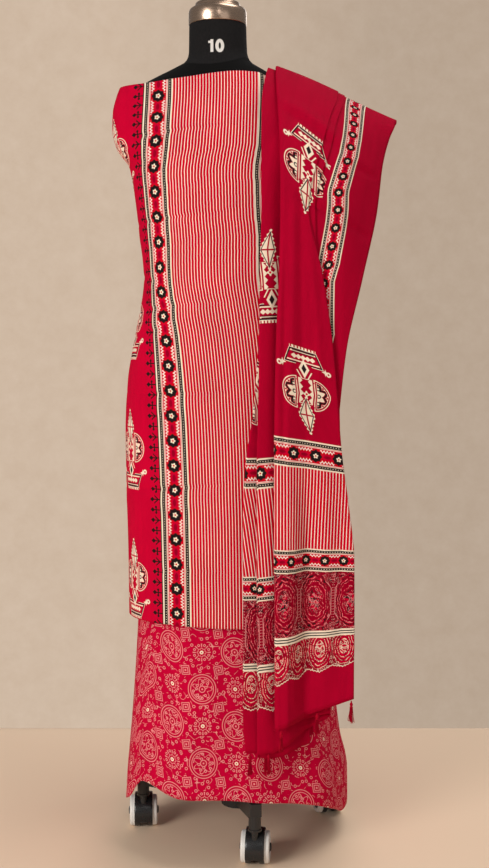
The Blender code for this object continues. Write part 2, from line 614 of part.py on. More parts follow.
def shawl_line(row, fold_steps, run_steps):
    """One line across the shawl, from the free edge through every fold to the far edge."""
    names = list(SHAWL_LAYERS)
    stops = [row[name] for name in names] + [row["far"]]
    layer = SHAWL_LAYERS["edge"]
    points = [(stops[0], layer)]
    for i in range(1, len(names)):
        before, here, after = stops[i - 1], stops[i], stops[i + 1]
        k_in = max(-1.0, min(1.0, (before - here) / 0.010))
        k_out = max(-1.0, min(1.0, (after - here) / 0.010))
        turn = fold_points(here, layer, SHAWL_LAYERS[names[i]], k_in, k_out, row["pitch"], fold_steps)
        start, end = points[-1][0], turn[0][0]
        runs = run_steps if i == 2 else 3 * run_steps
        evenly = [start + (end - start) * j / runs for j in range(1, runs)]
        crossing = run_stops(row, start, end, run_steps)[:-1]
        points += [(x, layer) for x in (crossing if i > 2 else evenly)]
        points += turn
        layer = SHAWL_LAYERS[names[i]]
    return points + [(x, layer) for x in run_stops(row, points[-1][0], stops[-1], run_steps)]


def shoulder_slope(x):
    return smooth_at([stop for stop, _ in SHOULDER_SLOPE], [drop for _, drop in SHOULDER_SLOPE], x)


def shawl_spot(row, x, layer, across):
    """A point of the shawl from its sideways place, its layer and its share of the width."""
    turn = math.radians(row["turn"])
    outward = Vector((0, -math.cos(turn), math.sin(turn)))
    lean = row["lean"] * min(1.0, max(0.0, (x - LEAN_START) / (LEAN_END - LEAN_START))) ** 1.3
    outer_share = min(1.0, max(0.0, (x - row["inner"]) / (row["front"] - row["inner"])))
    sag = row["drop"] * smooth_at([stop for stop, _ in SAG], [drop for _, drop in SAG], across)
    up = row["up"] + row["slope"] * shoulder_slope(x) + row["lift"] * outer_share - sag
    spot = Vector((x, row["out"], up)) - outward * layer * row["pitch"]
    bend = min(1.0, max(0.0, (x - BEND_START) / (BEND_END - BEND_START)))
    spot.y += bend_depth(row, up) * (bend - BEND_FORWARD)
    spot.y += lean if turn < math.pi / 2 else -lean
    return spot


def make_shawl():
    table = read_table(SHAWL_COLUMNS, SHAWL_ROWS)
    columns = len(shawl_line(shawl_row(table, 0.0), SHAWL_FOLD_STEPS, SHAWL_RUN_STEPS)) - 1

    def place(along, across):
        row = shawl_row(table, along)
        index = round(across * columns)
        x, layer = shawl_line(row, SHAWL_FOLD_STEPS, SHAWL_RUN_STEPS)[index]
        return shawl_spot(row, x, layer, across)

    add_sheet("shawl_cloth", SHAWL_LENGTH_STEPS, columns, place, SHAWL_THICKNESS, "shawl_print")


def tassel_mesh():
    """A bound head with nine loose threads below it; its top is the mesh's origin."""
    bm = bmesh.new()
    bmesh.ops.create_grid(bm, x_segments=3, y_segments=3, size=TASSEL_HEAD / 2)
    bmesh.ops.translate(bm, verts=bm.verts, vec=(0, 0, -0.012))
    roots = bm.faces[:]
    bmesh.ops.reverse_faces(bm, faces=roots)
    raised = bmesh.ops.extrude_face_region(bm, geom=roots, use_keep_orig=True)
    top = [part for part in raised["geom"] if isinstance(part, bmesh.types.BMVert)]
    bmesh.ops.scale(bm, verts=top, vec=(0.42, 0.42, 1.0))
    bmesh.ops.translate(bm, verts=top, vec=(0, 0, 0.012))
    threads = bmesh.ops.extrude_discrete_faces(bm, faces=roots)["faces"]
    for index, thread in enumerate(threads):
        centre = thread.calc_center_median()
        reach = TASSEL_LENGTH - 0.012 - 0.004 * (index % 3)
        drift = Vector((centre.x * 1.1, centre.y * 1.1, -reach))
        for corner in thread.verts:
            corner.co = centre + (corner.co - centre) * 0.62 + drift
    bmesh.ops.recalc_face_normals(bm, faces=bm.faces)
    return mesh_from(bm, "tassel", smooth=False)


def hem_spot(row, line, layer, x):
    """Where the hem's line passes a sideways place on the given layer."""
    last = len(line) - 1
    for i in range(last):
        (x_a, layer_a), (x_b, layer_b) = line[i], line[i + 1]
        if layer_a == layer_b == layer and min(x_a, x_b) <= x <= max(x_a, x_b):
            start = shawl_spot(row, x_a, layer, i / last)
            end = shawl_spot(row, x_b, layer, (i + 1) / last)
            return start.lerp(end, (x - x_a) / (x_b - x_a))


def make_tassels():
    table = read_table(SHAWL_COLUMNS, SHAWL_ROWS)
    shared = tassel_mesh()
    for end, share, outward in (("front", 0.0, -1), ("back", 1.0, 1)):
        row = shawl_row(table, share)
        line = shawl_line(row, SHAWL_FOLD_STEPS, SHAWL_RUN_STEPS)
        for number, (layer, x) in enumerate(TASSELS[end], 1):
            top = hem_spot(row, line, layer, x)
            top.y += outward * TASSEL_FORWARD
            top.z -= SHAWL_THICKNESS / 2 + PIECE_GAP
            add_object(f"tassel_{end}_{number}", shared, "tassel_thread", top, (0, 0, number * 0.7))


make_form()
make_base()
make_casters()
make_wrapped_cloths()
make_shawl()
make_tassels()
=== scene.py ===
import functools
import math

import bmesh
import bpy
from mathutils import Matrix, Vector


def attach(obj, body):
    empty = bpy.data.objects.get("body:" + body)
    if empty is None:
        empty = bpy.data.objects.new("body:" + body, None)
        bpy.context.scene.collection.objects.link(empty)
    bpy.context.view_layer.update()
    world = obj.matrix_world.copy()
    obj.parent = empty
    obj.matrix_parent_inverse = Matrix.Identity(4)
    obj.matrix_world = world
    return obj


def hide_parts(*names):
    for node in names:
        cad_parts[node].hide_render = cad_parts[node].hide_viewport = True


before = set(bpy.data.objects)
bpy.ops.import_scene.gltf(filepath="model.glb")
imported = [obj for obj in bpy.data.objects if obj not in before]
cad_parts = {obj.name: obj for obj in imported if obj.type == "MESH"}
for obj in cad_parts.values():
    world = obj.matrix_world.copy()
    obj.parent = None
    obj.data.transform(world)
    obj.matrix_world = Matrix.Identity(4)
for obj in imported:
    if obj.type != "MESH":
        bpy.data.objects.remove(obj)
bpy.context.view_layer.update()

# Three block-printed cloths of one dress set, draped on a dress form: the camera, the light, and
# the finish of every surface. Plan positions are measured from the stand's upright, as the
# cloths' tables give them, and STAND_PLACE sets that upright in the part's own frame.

STAND_PLACE = Vector((-0.031, 0.012, 0.0))
PIECE_GAP = 0.0003

# ---------------------------------------------------------------- helpers
def add_node(tree, kind, values=(), **settings):
    """A shader node with its settings, and with the given values on its inputs."""
    node = tree.nodes.new("ShaderNode" + kind)
    for setting, value in settings.items():
        setattr(node, setting, value)
    for name, value in dict(values).items():
        node.inputs[name].default_value = value
    return node


def mix_tones(tree, factor, a, b):
    """Tone a where the factor is 0 and tone b where it is 1. A tone is a colour or a socket."""
    node = add_node(tree, "Mix", data_type="RGBA")
    tree.links.new(factor, node.inputs["Factor"])
    for tone, slot in ((a, node.inputs["A"]), (b, node.inputs["B"])):
        if isinstance(tone, tuple):
            slot.default_value = (*tone, 1)
        else:
            tree.links.new(tone, slot)
    return node.outputs["Result"]


def add_bump(tree, shader, height, strength, distance):
    bump = add_node(tree, "Bump", {"Strength": strength, "Distance": distance})
    tree.links.new(height, bump.inputs["Height"])
    tree.links.new(bump.outputs[0], shader.inputs["Normal"])


def plain_material(name, colour, roughness):
    material = bpy.data.materials.new(name)
    material.use_nodes = True
    shader = material.node_tree.nodes["Principled BSDF"]
    shader.inputs["Base Color"].default_value = (*colour, 1)
    shader.inputs["Roughness"].default_value = roughness
    return material


def piece_from(bm, name, materials, sharpest=None):
    """An object from a bmesh, smooth but for the edges that turn by more than the given degrees."""
    mesh = bpy.data.meshes.new(name)
    bm.to_mesh(mesh)
    bm.free()
    mesh.shade_smooth()
    if sharpest is not None:
        mesh.set_sharp_from_angle(angle=math.radians(sharpest))
    for material in materials:
        mesh.materials.append(material)
    piece = bpy.data.objects.new(name, mesh)
    bpy.context.scene.collection.objects.link(piece)
    return piece


def ramp(at, start, end):
    """How far it is from the start to the end, held at 0 before the one and at 1 past the other."""
    return min(1.0, max(0.0, (at - start) / (end - start)))


def cut_spans(marks, counts):
    """The marks, and between them the places that cut each span into its count of even parts."""
    cuts = [marks[0]]
    for a, b, count in zip(marks, marks[1:], counts):
        cuts += [a + (b - a) * j / count for j in range(1, count + 1)]
    return cuts


def repeated(values, counts):
    return [value for value, count in zip(values, counts) for _ in range(count)]


# ---------------------------------------------------------------- camera, light and floor
CAMERA_ASIDE, CAMERA_DISTANCE, CAMERA_HEIGHT = 0.0123, 2.16, 1.014
CAMERA_DIP = math.radians(6.3)
CAMERA_LENS, CAMERA_FRAME = 47.07, 36.0


def make_camera():
    camera = bpy.data.objects.new("camera", bpy.data.cameras.new("camera"))
    bpy.context.scene.collection.objects.link(camera)
    camera.location = STAND_PLACE + Vector((CAMERA_ASIDE, -CAMERA_DISTANCE, CAMERA_HEIGHT))
    camera.rotation_euler = (math.radians(90) - CAMERA_DIP, 0, 0)
    camera.data.sensor_fit = "VERTICAL"
    camera.data.sensor_height = CAMERA_FRAME
    camera.data.lens = CAMERA_LENS
    bpy.context.scene.camera = camera


def add_light(name, place, aim, size, power, colour):
    light = bpy.data.lights.new(name, "AREA")
    light.shape, light.size, light.energy, light.color = "DISK", size, power, colour
    lamp = bpy.data.objects.new(name, light)
    lamp.location = place
    lamp.rotation_euler = (Vector(aim) - Vector(place)).to_track_quat("-Z", "Y").to_euler()
    bpy.context.scene.collection.objects.link(lamp)


FLOOR_REACH, FLOOR_BACK, FLOOR_FALL = 6.0, 0.52, math.radians(24)
FLOOR_TONE = (0.88, 0.66, 0.475)


def make_floor():
    """A pale floor that rolls off behind the stand, so nothing stands in the way of a back view."""
    bm = bmesh.new()
    bmesh.ops.create_grid(bm, x_segments=1, y_segments=1, size=FLOOR_REACH)
    back = [edge for edge in bm.edges if all(corner.co.y > 0 for corner in edge.verts)]
    for corner in back[0].verts:
        corner.co.y = FLOOR_BACK
    for part in bmesh.ops.extrude_edge_only(bm, edges=back)["geom"]:
        if isinstance(part, bmesh.types.BMVert):
            part.co += Vector((0, FLOOR_REACH, -FLOOR_REACH * math.tan(FLOOR_FALL)))
    bmesh.ops.bevel(bm, geom=back, offset=0.02, segments=4, profile=0.5, affect="EDGES",
                    material=-1)
    bmesh.ops.recalc_face_normals(bm, faces=bm.faces)
    floor = piece_from(bm, "floor", [plain_material("pale_floor", FLOOR_TONE, 0.85)])


GLOW, GLOW_STRENGTH = (1.0, 0.96, 0.92), 0.25
PLASTER_DARK, PLASTER_LIGHT = (0.545, 0.410, 0.300), (0.665, 0.530, 0.415)
# Painted shade on the plaster: its brightness falls from left to right, darker towards the right.
PLASTER_PAINTED_SHADE = {"From Min": 0.39, "From Max": 0.61, "To Min": 1.03, "To Max": 0.80}


def make_room():
    """Even light from all round, and for the camera a plaster tone with a painted shade that
    darkens it to the right.
    """
    world = bpy.data.worlds.new("room")
    world.use_nodes = True
    tree = world.node_tree
    glow = tree.nodes["Background"]
    glow.inputs["Color"].default_value = (*GLOW, 1)
    glow.inputs["Strength"].default_value = GLOW_STRENGTH
    mottle = add_node(tree, "TexNoise", {"Scale": 60.0, "Detail": 8.0, "Roughness": 0.7})
    aside = add_node(tree, "TexGradient")
    aside.texture_mapping.translation.x = 0.5
    # Painted shade: the plaster's brightness falls off towards the right.
    painted_shade = add_node(tree, "MapRange", PLASTER_PAINTED_SHADE)
    plaster, seen, either = (add_node(tree, kind)
                             for kind in ("Background", "LightPath", "MixShader"))
    tone = mix_tones(tree, mottle.outputs["Fac"], PLASTER_DARK, PLASTER_LIGHT)
    for start, end in ((aside.outputs["Fac"], painted_shade.inputs["Value"]),
                       (painted_shade.outputs["Result"], plaster.inputs["Strength"]),
                       (tone, plaster.inputs["Color"]),
                       (seen.outputs["Is Camera Ray"], either.inputs["Fac"]),
                       (glow.outputs[0], either.inputs[1]),
                       (plaster.outputs[0], either.inputs[2]),
                       (either.outputs[0], tree.nodes["World Output"].inputs["Surface"])):
        tree.links.new(start, end)
    bpy.context.scene.world = world


# Each light's name, place, aim, size, watts and colour.
LIGHTS = (
    ("key", (-2.2, -2.5, 1.5), (0, 0, 0.8), 1.5, 74, (1.0, 0.98, 0.95)),
    ("fill", (1.6, -3.0, 1.2), (0, 0, 0.8), 2.0, 7, (1.0, 0.98, 0.96)),
    ("wash", (0.9, -0.2, 3.2), (0.3, 0.2, 0.0), 1.6, 30, (1.0, 0.98, 0.95)),
    ("glint", (0.22, -2.4, 1.9), (0, 0, 1.2), 0.4, 2, (1.0, 0.98, 0.96)),
    ("back", (0.2, 1.9, 1.6), (0.1, 0.35, 0.0), 1.6, 13, (1.0, 0.98, 0.96)),
)


def make_light():
    for light in LIGHTS:
        add_light(*light)
    make_room()
    bpy.context.scene.view_settings.view_transform = "Standard"


# ---------------------------------------------------------------- the arithmetic of a print
class Field:
    """A number that varies over a surface. Sums of fields are sums on the material's nodes."""

    def __init__(self, tree, socket):
        self.tree, self.socket = tree, socket

    def done(self, kind, *others, clamp=False):
        node = self.tree.nodes.new("ShaderNodeMath")
        node.operation, node.use_clamp = kind, clamp
        for slot, value in zip(node.inputs, (self, *others)):
            if isinstance(value, Field):
                self.tree.links.new(value.socket, slot)
            else:
                slot.default_value = value
        return Field(self.tree, node.outputs[0])

    def __add__(self, other):
        return self.done("ADD", other)

    def __sub__(self, other):
        return self.done("SUBTRACT", other)

    def __rsub__(self, other):
        return self.done("MULTIPLY_ADD", -1.0, other)

    def __mul__(self, other):
        return self.done("MULTIPLY", other)

    def __truediv__(self, other):
        return self.done("DIVIDE", other)

    def __neg__(self):
        return self.done("MULTIPLY", -1.0)

    def __abs__(self):
        return self.done("ABSOLUTE")

    __radd__, __rmul__ = __add__, __mul__

    def least(self, *others):
        return functools.reduce(lambda a, b: a.done("MINIMUM", b), others, self)

    def most(self, *others):
        return functools.reduce(lambda a, b: a.done("MAXIMUM", b), others, self)

    def wrap(self, pitch):
        """How far it is from the nearest whole number of pitches."""
        return (self + pitch / 2).done("FLOORED_MODULO", pitch) - pitch / 2

    def teeth(self, pitch, height):
        """A saw edge: 0 at each tooth's middle and its height half a pitch away."""
        return abs(self.wrap(pitch)) * (2 * height / pitch)

    def wave(self, pitch):
        return (self * (2 * math.pi / pitch)).done("SINE")

    def inside(self, soft):
        """1 where the field is below 0, 0 above, with an edge as wide as soft."""
        return self.done("MULTIPLY_ADD", -1.0 / soft, 0.5, clamp=True)


def reach(x, y):
    return (x * x + y * y).done("SQRT")


def bearing(x, y):
    return y.done("ARCTAN2", x)


def diamond(x, y, half_width, half_height):
    return (abs(x) / half_width + abs(y) / half_height - 1.0) * min(half_width, half_height)


def oblong(x, y, half_width, half_height):
    return (abs(x) - half_width).most(abs(y) - half_height)


def turned(x, y, degrees):
    c, s = math.cos(math.radians(degrees)), math.sin(math.radians(degrees))
    return x * c + y * s, y * c - x * s


INKS = {
    "crimson": (0.570, 0.0004, 0.030),
    "wine": (0.410, 0.0004, 0.023),
    "deep": (0.300, 0.0004, 0.016),
    "red": (0.610, 0.0015, 0.014),
    "cream": (0.900, 0.770, 0.600),
    "chalk": (0.960, 0.860, 0.800),
    "black": (0.016, 0.010, 0.011),
    "rose": (0.780, 0.300, 0.300),
    "cherry": (0.560, 0.0008, 0.036),
}
PRINT_EDGE = 0.0005                     # how far an ink bleeds at its edge
FINE_EDGE = 0.0004                      # and at the edge of a fine line
WEAVE_PITCH = 0.0011


class Print:
    """A printed cotton: read its u and v, lay inks in order, then finish it."""

    def __init__(self, name, ground):
        self.material = bpy.data.materials.new(name)
        self.material.use_nodes = True
        self.tree = self.material.node_tree
        self.shader = self.tree.nodes["Principled BSDF"]
        self.place = add_node(self.tree, "UVMap", uv_map="cloth").outputs["UV"]
        parts = add_node(self.tree, "SeparateXYZ")
        self.tree.links.new(self.place, parts.inputs[0])
        self.u = Field(self.tree, parts.outputs["X"])
        self.v = Field(self.tree, parts.outputs["Y"])
        self.colour = INKS[ground]

    def moved(self, stretch, shift):
        """The place on the cloth, stretched along v and shifted, for a texture to read."""
        move = add_node(self.tree, "VectorMath", operation="MULTIPLY_ADD")
        move.inputs[1].default_value = (1.0, 1.0 / stretch, 1.0)
        move.inputs[2].default_value = (shift, shift * 0.7, shift * 1.3)
        self.tree.links.new(self.place, move.inputs[0])
        return move.outputs[0]

    def noise(self, scale, detail=2.0, shift=0.0, stretch=1.0):
        """A soft unevenness from 0 to 1, its blots to the metre set by the scale."""
        node = add_node(self.tree, "TexNoise", {"Scale": scale, "Detail": detail})
        self.tree.links.new(self.moved(stretch, shift), node.inputs["Vector"])
        return Field(self.tree, node.outputs["Fac"])

    def spots(self, pitch, shift=0.0):
        """The distance to the nearest of the scattered points, about a pitch apart."""
        node = add_node(self.tree, "TexVoronoi", voronoi_dimensions="2D")
        node.inputs["Scale"].default_value = 1.0 / pitch
        self.tree.links.new(self.moved(1.0, shift), node.inputs["Vector"])
        return Field(self.tree, node.outputs["Distance"]) * pitch

    def lay(self, shape, ink, edge=PRINT_EDGE):
        """Prints an ink wherever the shape's field is below 0."""
        self.colour = mix_tones(self.tree, shape.inside(edge).socket, self.colour, INKS[ink])

    def finish(self, roughness=0.82):
        """Uneven dye, soft crumpling and the cotton's own weave."""
        tree, shader = self.tree, self.shader
        dye = self.noise(14.0, 4.0) * 0.22 + self.noise(900.0, 1.0, 3.0) * 0.16 + 0.66
        dye = dye + self.noise(75.0, 3.0, 2.0, 9.0) * 0.30
        tint = add_node(tree, "VectorMath", operation="SCALE")
        tree.links.new(self.colour, tint.inputs[0])
        tree.links.new(dye.socket, tint.inputs["Scale"])
        tree.links.new(tint.outputs[0], shader.inputs["Base Color"])
        weave = self.u.wave(WEAVE_PITCH) * self.v.wave(WEAVE_PITCH)
        crumple = self.noise(60.0, 3.0, 5.0) * 3.0 + self.noise(17.0, 2.0, 8.0) * 14.0
        add_bump(tree, shader, (weave + crumple).socket, 0.40, 0.0004)
        shader.inputs["Roughness"].default_value = roughness
        shader.inputs["Specular IOR Level"].default_value = 0.06
        shader.inputs["Specular Tint"].default_value = (1.0, 0.45, 0.50, 1)
        return self.material


# ---------------------------------------------------------------- motifs of the print
def lay_rosette(cloth, x, y, radius):
    r, turn = reach(x, y), bearing(x, y)
    petals = (turn * 8).done("COSINE") * (0.08 * radius)
    star = (turn * 5).done("COSINE") * (0.08 * radius)
    cloth.lay(r - 1.10 * radius - petals, "red")
    cloth.lay(r - 0.94 * radius - petals, "black")
    cloth.lay(r - 0.35 * radius - star, "cream")
    cloth.lay(r - 0.14 * radius, "red")


ROSETTE_PITCH, ROSETTE_RADIUS = 0.824, 0.222      # in widths of the border
BORDER_DOTS, COMB_TEETH = 0.0046, 0.0056


def lay_border(cloth, across, along, width):
    """A band between dotted black lines, with rosettes and serrated ovals in turn."""
    pitch, radius = ROSETTE_PITCH * width, ROSETTE_RADIUS * width
    aside = abs(across)
    cloth.lay(aside - 0.5 * width, "cream")
    line = aside - 0.388 * width
    cloth.lay(abs(line) - 0.056 * width, "black")
    cloth.lay(reach(line, along.wrap(BORDER_DOTS)) - 0.00080, "cream")
    cloth.lay(aside - 0.312 * width, "red")
    from_gap = along.wrap(pitch)
    saw = aside - 0.150 * width - along.teeth(COMB_TEETH, 0.085 * width)
    comb = (abs(saw) - 0.026 * width).most(abs(from_gap) - 0.36 * pitch)
    cloth.lay(comb.least(abs(aside - 0.285 * width) - 0.010 * width), "chalk")
    oval = reach(across / (0.105 * width), from_gap / (0.27 * pitch)) - 1.0
    cloth.lay(oval * (0.105 * width), "crimson")
    cloth.lay((oval + 0.45) * (0.105 * width), "deep")
    lay_rosette(cloth, across, (along + pitch / 2).wrap(pitch), radius)


def lay_stripes(cloth, across, pitch):
    """Chalk stripes of nearly a quarter of their pitch, that sway a little."""
    sway = cloth.noise(9.0, 2.0) * 0.0016
    cloth.lay(abs((across + sway).wrap(pitch)) - 0.112 * pitch, "chalk")


def lay_trefoils(cloth, out, along, pitch):
    """A row of small sprigs on stems, two shapes in turn, standing out from a black line."""
    cloth.lay(abs(out - 0.0006) - 0.0013, "black")
    for shift, fan in ((0.0, True), (pitch, False)):
        y = (along + shift).wrap(2 * pitch)
        stem = oblong(out - 0.0090, y, 0.0085, 0.0010)
        tip = diamond(out - 0.0175, y, 0.0050, 0.0044)
        if fan:
            arm = abs(abs(y) - (out - 0.0050) * 0.85) - 0.0015
            arms = arm.most(abs(out - 0.0090) - 0.0042)
        else:
            arms = reach(out - 0.0100, abs(y) - 0.0052) - 0.0023
            arms = arms.least(oblong(out - 0.0100, y, 0.0012, 0.0050))
        cloth.lay(stem.least(tip, arms), "black")


def lay_butta(cloth, x, y, ground="crimson"):
    """A large sprig: a roof over a gem, two half wheels, a jagged stem and a kite."""
    side = abs(x)
    eaves = side - 0.0225 + (y - 0.0730) * 0.42
    roof = eaves.most(abs(y - 0.0610) - 0.0120)
    dentils = oblong(x, y - 0.0752, 0.0225, 0.0030).most(x.teeth(0.0058, 0.0048) - 0.0028)
    cloth.lay(dentils, "cream")
    cloth.lay(roof - 0.0012, "cream")
    cloth.lay(roof - 0.0003, "black")
    cloth.lay(roof + 0.0020, ground)
    cloth.lay(roof.most(0.0656 - y) + 0.0026, "cream")
    cloth.lay((abs(abs(y - 0.0686) - 0.0015) - 0.0007).most(side - 0.0190), "black")
    fringe = oblong(x, y - 0.0606, 0.0230, 0.0042) + x.teeth(0.0080, 0.0030)
    cloth.lay(fringe, "cream")
    cloth.lay((abs(y - 0.0530) - 0.0010).most(roof + 0.0030), "cream")

    gem_y = y - 0.0420
    cloth.lay(diamond(x, gem_y, 0.0175, 0.0300).most(y - 0.0500), ground)
    cloth.lay((abs(diamond(x, gem_y, 0.0152, 0.0262)) - 0.0011).most(y - 0.0380), "cream")
    cloth.lay(diamond(x, gem_y, 0.0092, 0.0160), "cream")
    cloth.lay(diamond(x, gem_y, 0.0046, 0.0080), "black")

    stem = (side - 0.0122).most(abs(y - 0.0040) - 0.0215)
    cloth.lay(stem, "cream")
    core = side - 0.0050 - y.teeth(0.0108, 0.0052)
    cloth.lay(core.most(abs(y - 0.0040) - 0.0205), ground)
    flower, spin = reach(x, y + 0.0010), bearing(x, y + 0.0010)
    cloth.lay(flower - 0.0044 - (spin * 4).done("COSINE") * 0.0013, "cream")
    cloth.lay(flower - 0.0019, "red")

    disc = reach(side - 0.0150, y) - 0.0272
    wheel = disc.most(0.0150 - side)
    cloth.lay(wheel, "cream")
    cloth.lay(wheel + 0.0015, ground)
    cloth.lay(wheel + 0.0040, "cream")
    turn = bearing(side - 0.0150, y)
    jag = disc + 0.0125 - turn.teeth(0.80, 0.0080)
    cloth.lay((abs(jag) - 0.0038).most(wheel + 0.0046), ground)
    cloth.lay((abs(jag) - 0.0022).most(wheel + 0.0050), "black")
    spot = reach(side - 0.0215, y.wrap(0.0130)) - 0.0036
    cloth.lay(spot.most(wheel + 0.0046), "black")
    cloth.lay((spot + 0.0018).most(wheel + 0.0046), "cream")
    far = reach(disc + 0.0060, turn.wrap(0.80) * 0.021) - 0.0017
    cloth.lay(far, ground)

    kite_y = y + 0.0370
    kite = diamond(x, kite_y, 0.0128, 0.0300)
    cloth.lay(kite - 0.0030 + y.teeth(0.0068, 0.0030), "cream")
    cloth.lay(kite + 0.0002, "black")
    cloth.lay(kite + 0.0019, "cream")
    cloth.lay((side - 0.0013).least(abs(kite_y) - 0.0013).most(kite + 0.0019), ground)

    sprig = reach(side - 0.0425, y - 0.0430)
    fork = diamond(side - 0.0365, y - 0.0455, 0.0062, 0.0026)
    bar = diamond(side - 0.0370, y - 0.0450, 0.0020, 0.0064)
    cloth.lay((sprig - 0.0044).least(fork, bar), "cream")
    cloth.lay(sprig - 0.0017, ground)


def lay_scrolls(cloth, pitch, ink, seed, line, within=None):
    """Small curled rings scattered between wandering fine lines."""
    rings = abs(cloth.spots(pitch, seed) - 0.27 * pitch) - line
    curl = abs(cloth.noise(0.55 / pitch, 0.0, seed + 1.0) - 0.5) * (1.3 * pitch) - 0.5 * line
    shape = rings.least(curl)
    cloth.lay(shape if within is None else shape.most(within), ink, FINE_EDGE)


def lay_medallions(cloth, x, y, half_height, pitch):
    """Ringed medallions side by side, with a waisted post and curled filling between them."""
    lay_scrolls(cloth, 0.0074, "rose", 0.0, 0.00036)
    lay_scrolls(cloth, 0.0092, "black", 3.0, 0.00075)
    lay_scrolls(cloth, 0.0120, "rose", 5.0, 0.00030)
    bend = (cloth.noise(90.0, 1.0, 5.0) - 0.5) * 0.0075
    half_width, squareness = 0.43 * pitch, 2.2
    across, up = abs(x) / half_width, abs(y) / (0.95 * half_height)
    rounded = across.done("POWER", squareness) + up.done("POWER", squareness)
    r = rounded.done("POWER", 1 / squareness) * half_width + bend
    edge = r - half_width
    cloth.lay(edge, "crimson")
    for deep, half, ink in ((0.0004, 0.00032, "rose"), (0.0024, 0.0009, "black"),
                            (0.0046, 0.00030, "rose"), (0.0066, 0.0007, "black"),
                            (0.0084, 0.00030, "rose"), (0.0108, 0.0011, "deep"),
                            (0.0130, 0.00030, "rose"), (0.0150, 0.0008, "black")):
        cloth.lay(abs(edge + deep) - half, ink, FINE_EDGE)
    heart = r - 0.0125
    cloth.lay(heart, "crimson", 0.0030)
    lay_scrolls(cloth, 0.0086, "black", 9.0, 0.00085, heart)
    lay_scrolls(cloth, 0.0066, "rose", 7.0, 0.00032, heart)
    lay_scrolls(cloth, 0.0062, "deep", 11.0, 0.00060, -edge - 0.0200)
    from_side = pitch / 2 - abs(x)
    post = from_side - 0.0036 - (abs(y) - 0.44 * half_height).done("MAXIMUM", 0.0) * 0.60
    cloth.lay(post.most(abs(y) - 0.60 * half_height), "deep")
    cloth.lay((abs(post) - 0.0005).most(abs(y) - 0.62 * half_height), "rose")
    cloth.lay(reach(from_side - 0.0014, y.wrap(0.0050)) - 0.0007, "rose")


# ---------------------------------------------------------------- the cloths' prints
KURTA_BORDER, KURTA_STRIPE, KURTA_STRIPES = 0.0545, 0.0055, 28
KURTA_MIDDLE = KURTA_BORDER + KURTA_STRIPE * KURTA_STRIPES
KURTA_FAR = KURTA_MIDDLE + KURTA_BORDER
TREFOIL_PITCH = 0.0190


def kurta_prints():
    stripes = Print("kurta_stripes", "red")
    lay_stripes(stripes, stripes.u - KURTA_BORDER, KURTA_STRIPE)

    near = Print("kurta_border_near", "crimson")
    lay_border(near, near.u - KURTA_BORDER / 2, near.v, KURTA_BORDER)
    far = Print("kurta_border_far", "crimson")
    lay_border(far, far.u - KURTA_MIDDLE - KURTA_BORDER / 2, far.v + 0.010, KURTA_BORDER)

    sides = Print("kurta_sides", "crimson")
    out = abs(sides.u - KURTA_FAR / 2) - KURTA_FAR / 2
    upper = (sides.v - 0.70).done("DIVIDE", 0.05, clamp=True) * 0.070
    lay_butta(sides, (out - 0.076).wrap(0.210), -(sides.v - 0.080 - upper).wrap(0.240))
    lay_trefoils(sides, out, sides.v, TREFOIL_PITCH)
    return [cloth.finish() for cloth in (stripes, near, far, sides)]


# Zones of the shawl by the distance from its hem, and what each one is printed with.
SCALLOP_EDGE, TRIPLE_LINE, TRIPLE_TOP = 0.079, 0.1377, 0.1507
PANEL_TOP, LOW_BORDER_TOP = 0.2595, 0.3000
STRIPE_TOP, HIGH_BORDER_TOP = 0.4427, 0.4921
SHAWL_STRIPE = 0.0056
SIDE_BORDER_START, SIDE_BORDER = 0.026, 0.038
# The side border's drift away from the free edge: where it starts, its run and how far.
SIDE_DRIFTS = ((0.68, 0.09, 0.025), (0.80, 0.12, 0.017), (0.93, 0.07, -0.012),
               (1.04, 0.10, 0.005))
BUTTA_COLUMN, BUTTA_ACROSS, BUTTA_ALONG, BUTTA_FIRST = 0.123, 0.2470, 0.378, 0.081
BUTTA_DROP, BUTTA_DRIFT = 0.1666, 0.0737
ARCH_PITCH, MEDALLION_PITCH, MEDALLION_SHIFT, ROSETTE_SHIFT = 0.043, 0.064, 0.012, 0.008


def end_border(name, foot, top):
    cloth = Print(name, "crimson")
    lay_border(cloth, cloth.v - (foot + top) / 2, cloth.u - ROSETTE_SHIFT, top - foot)
    return cloth


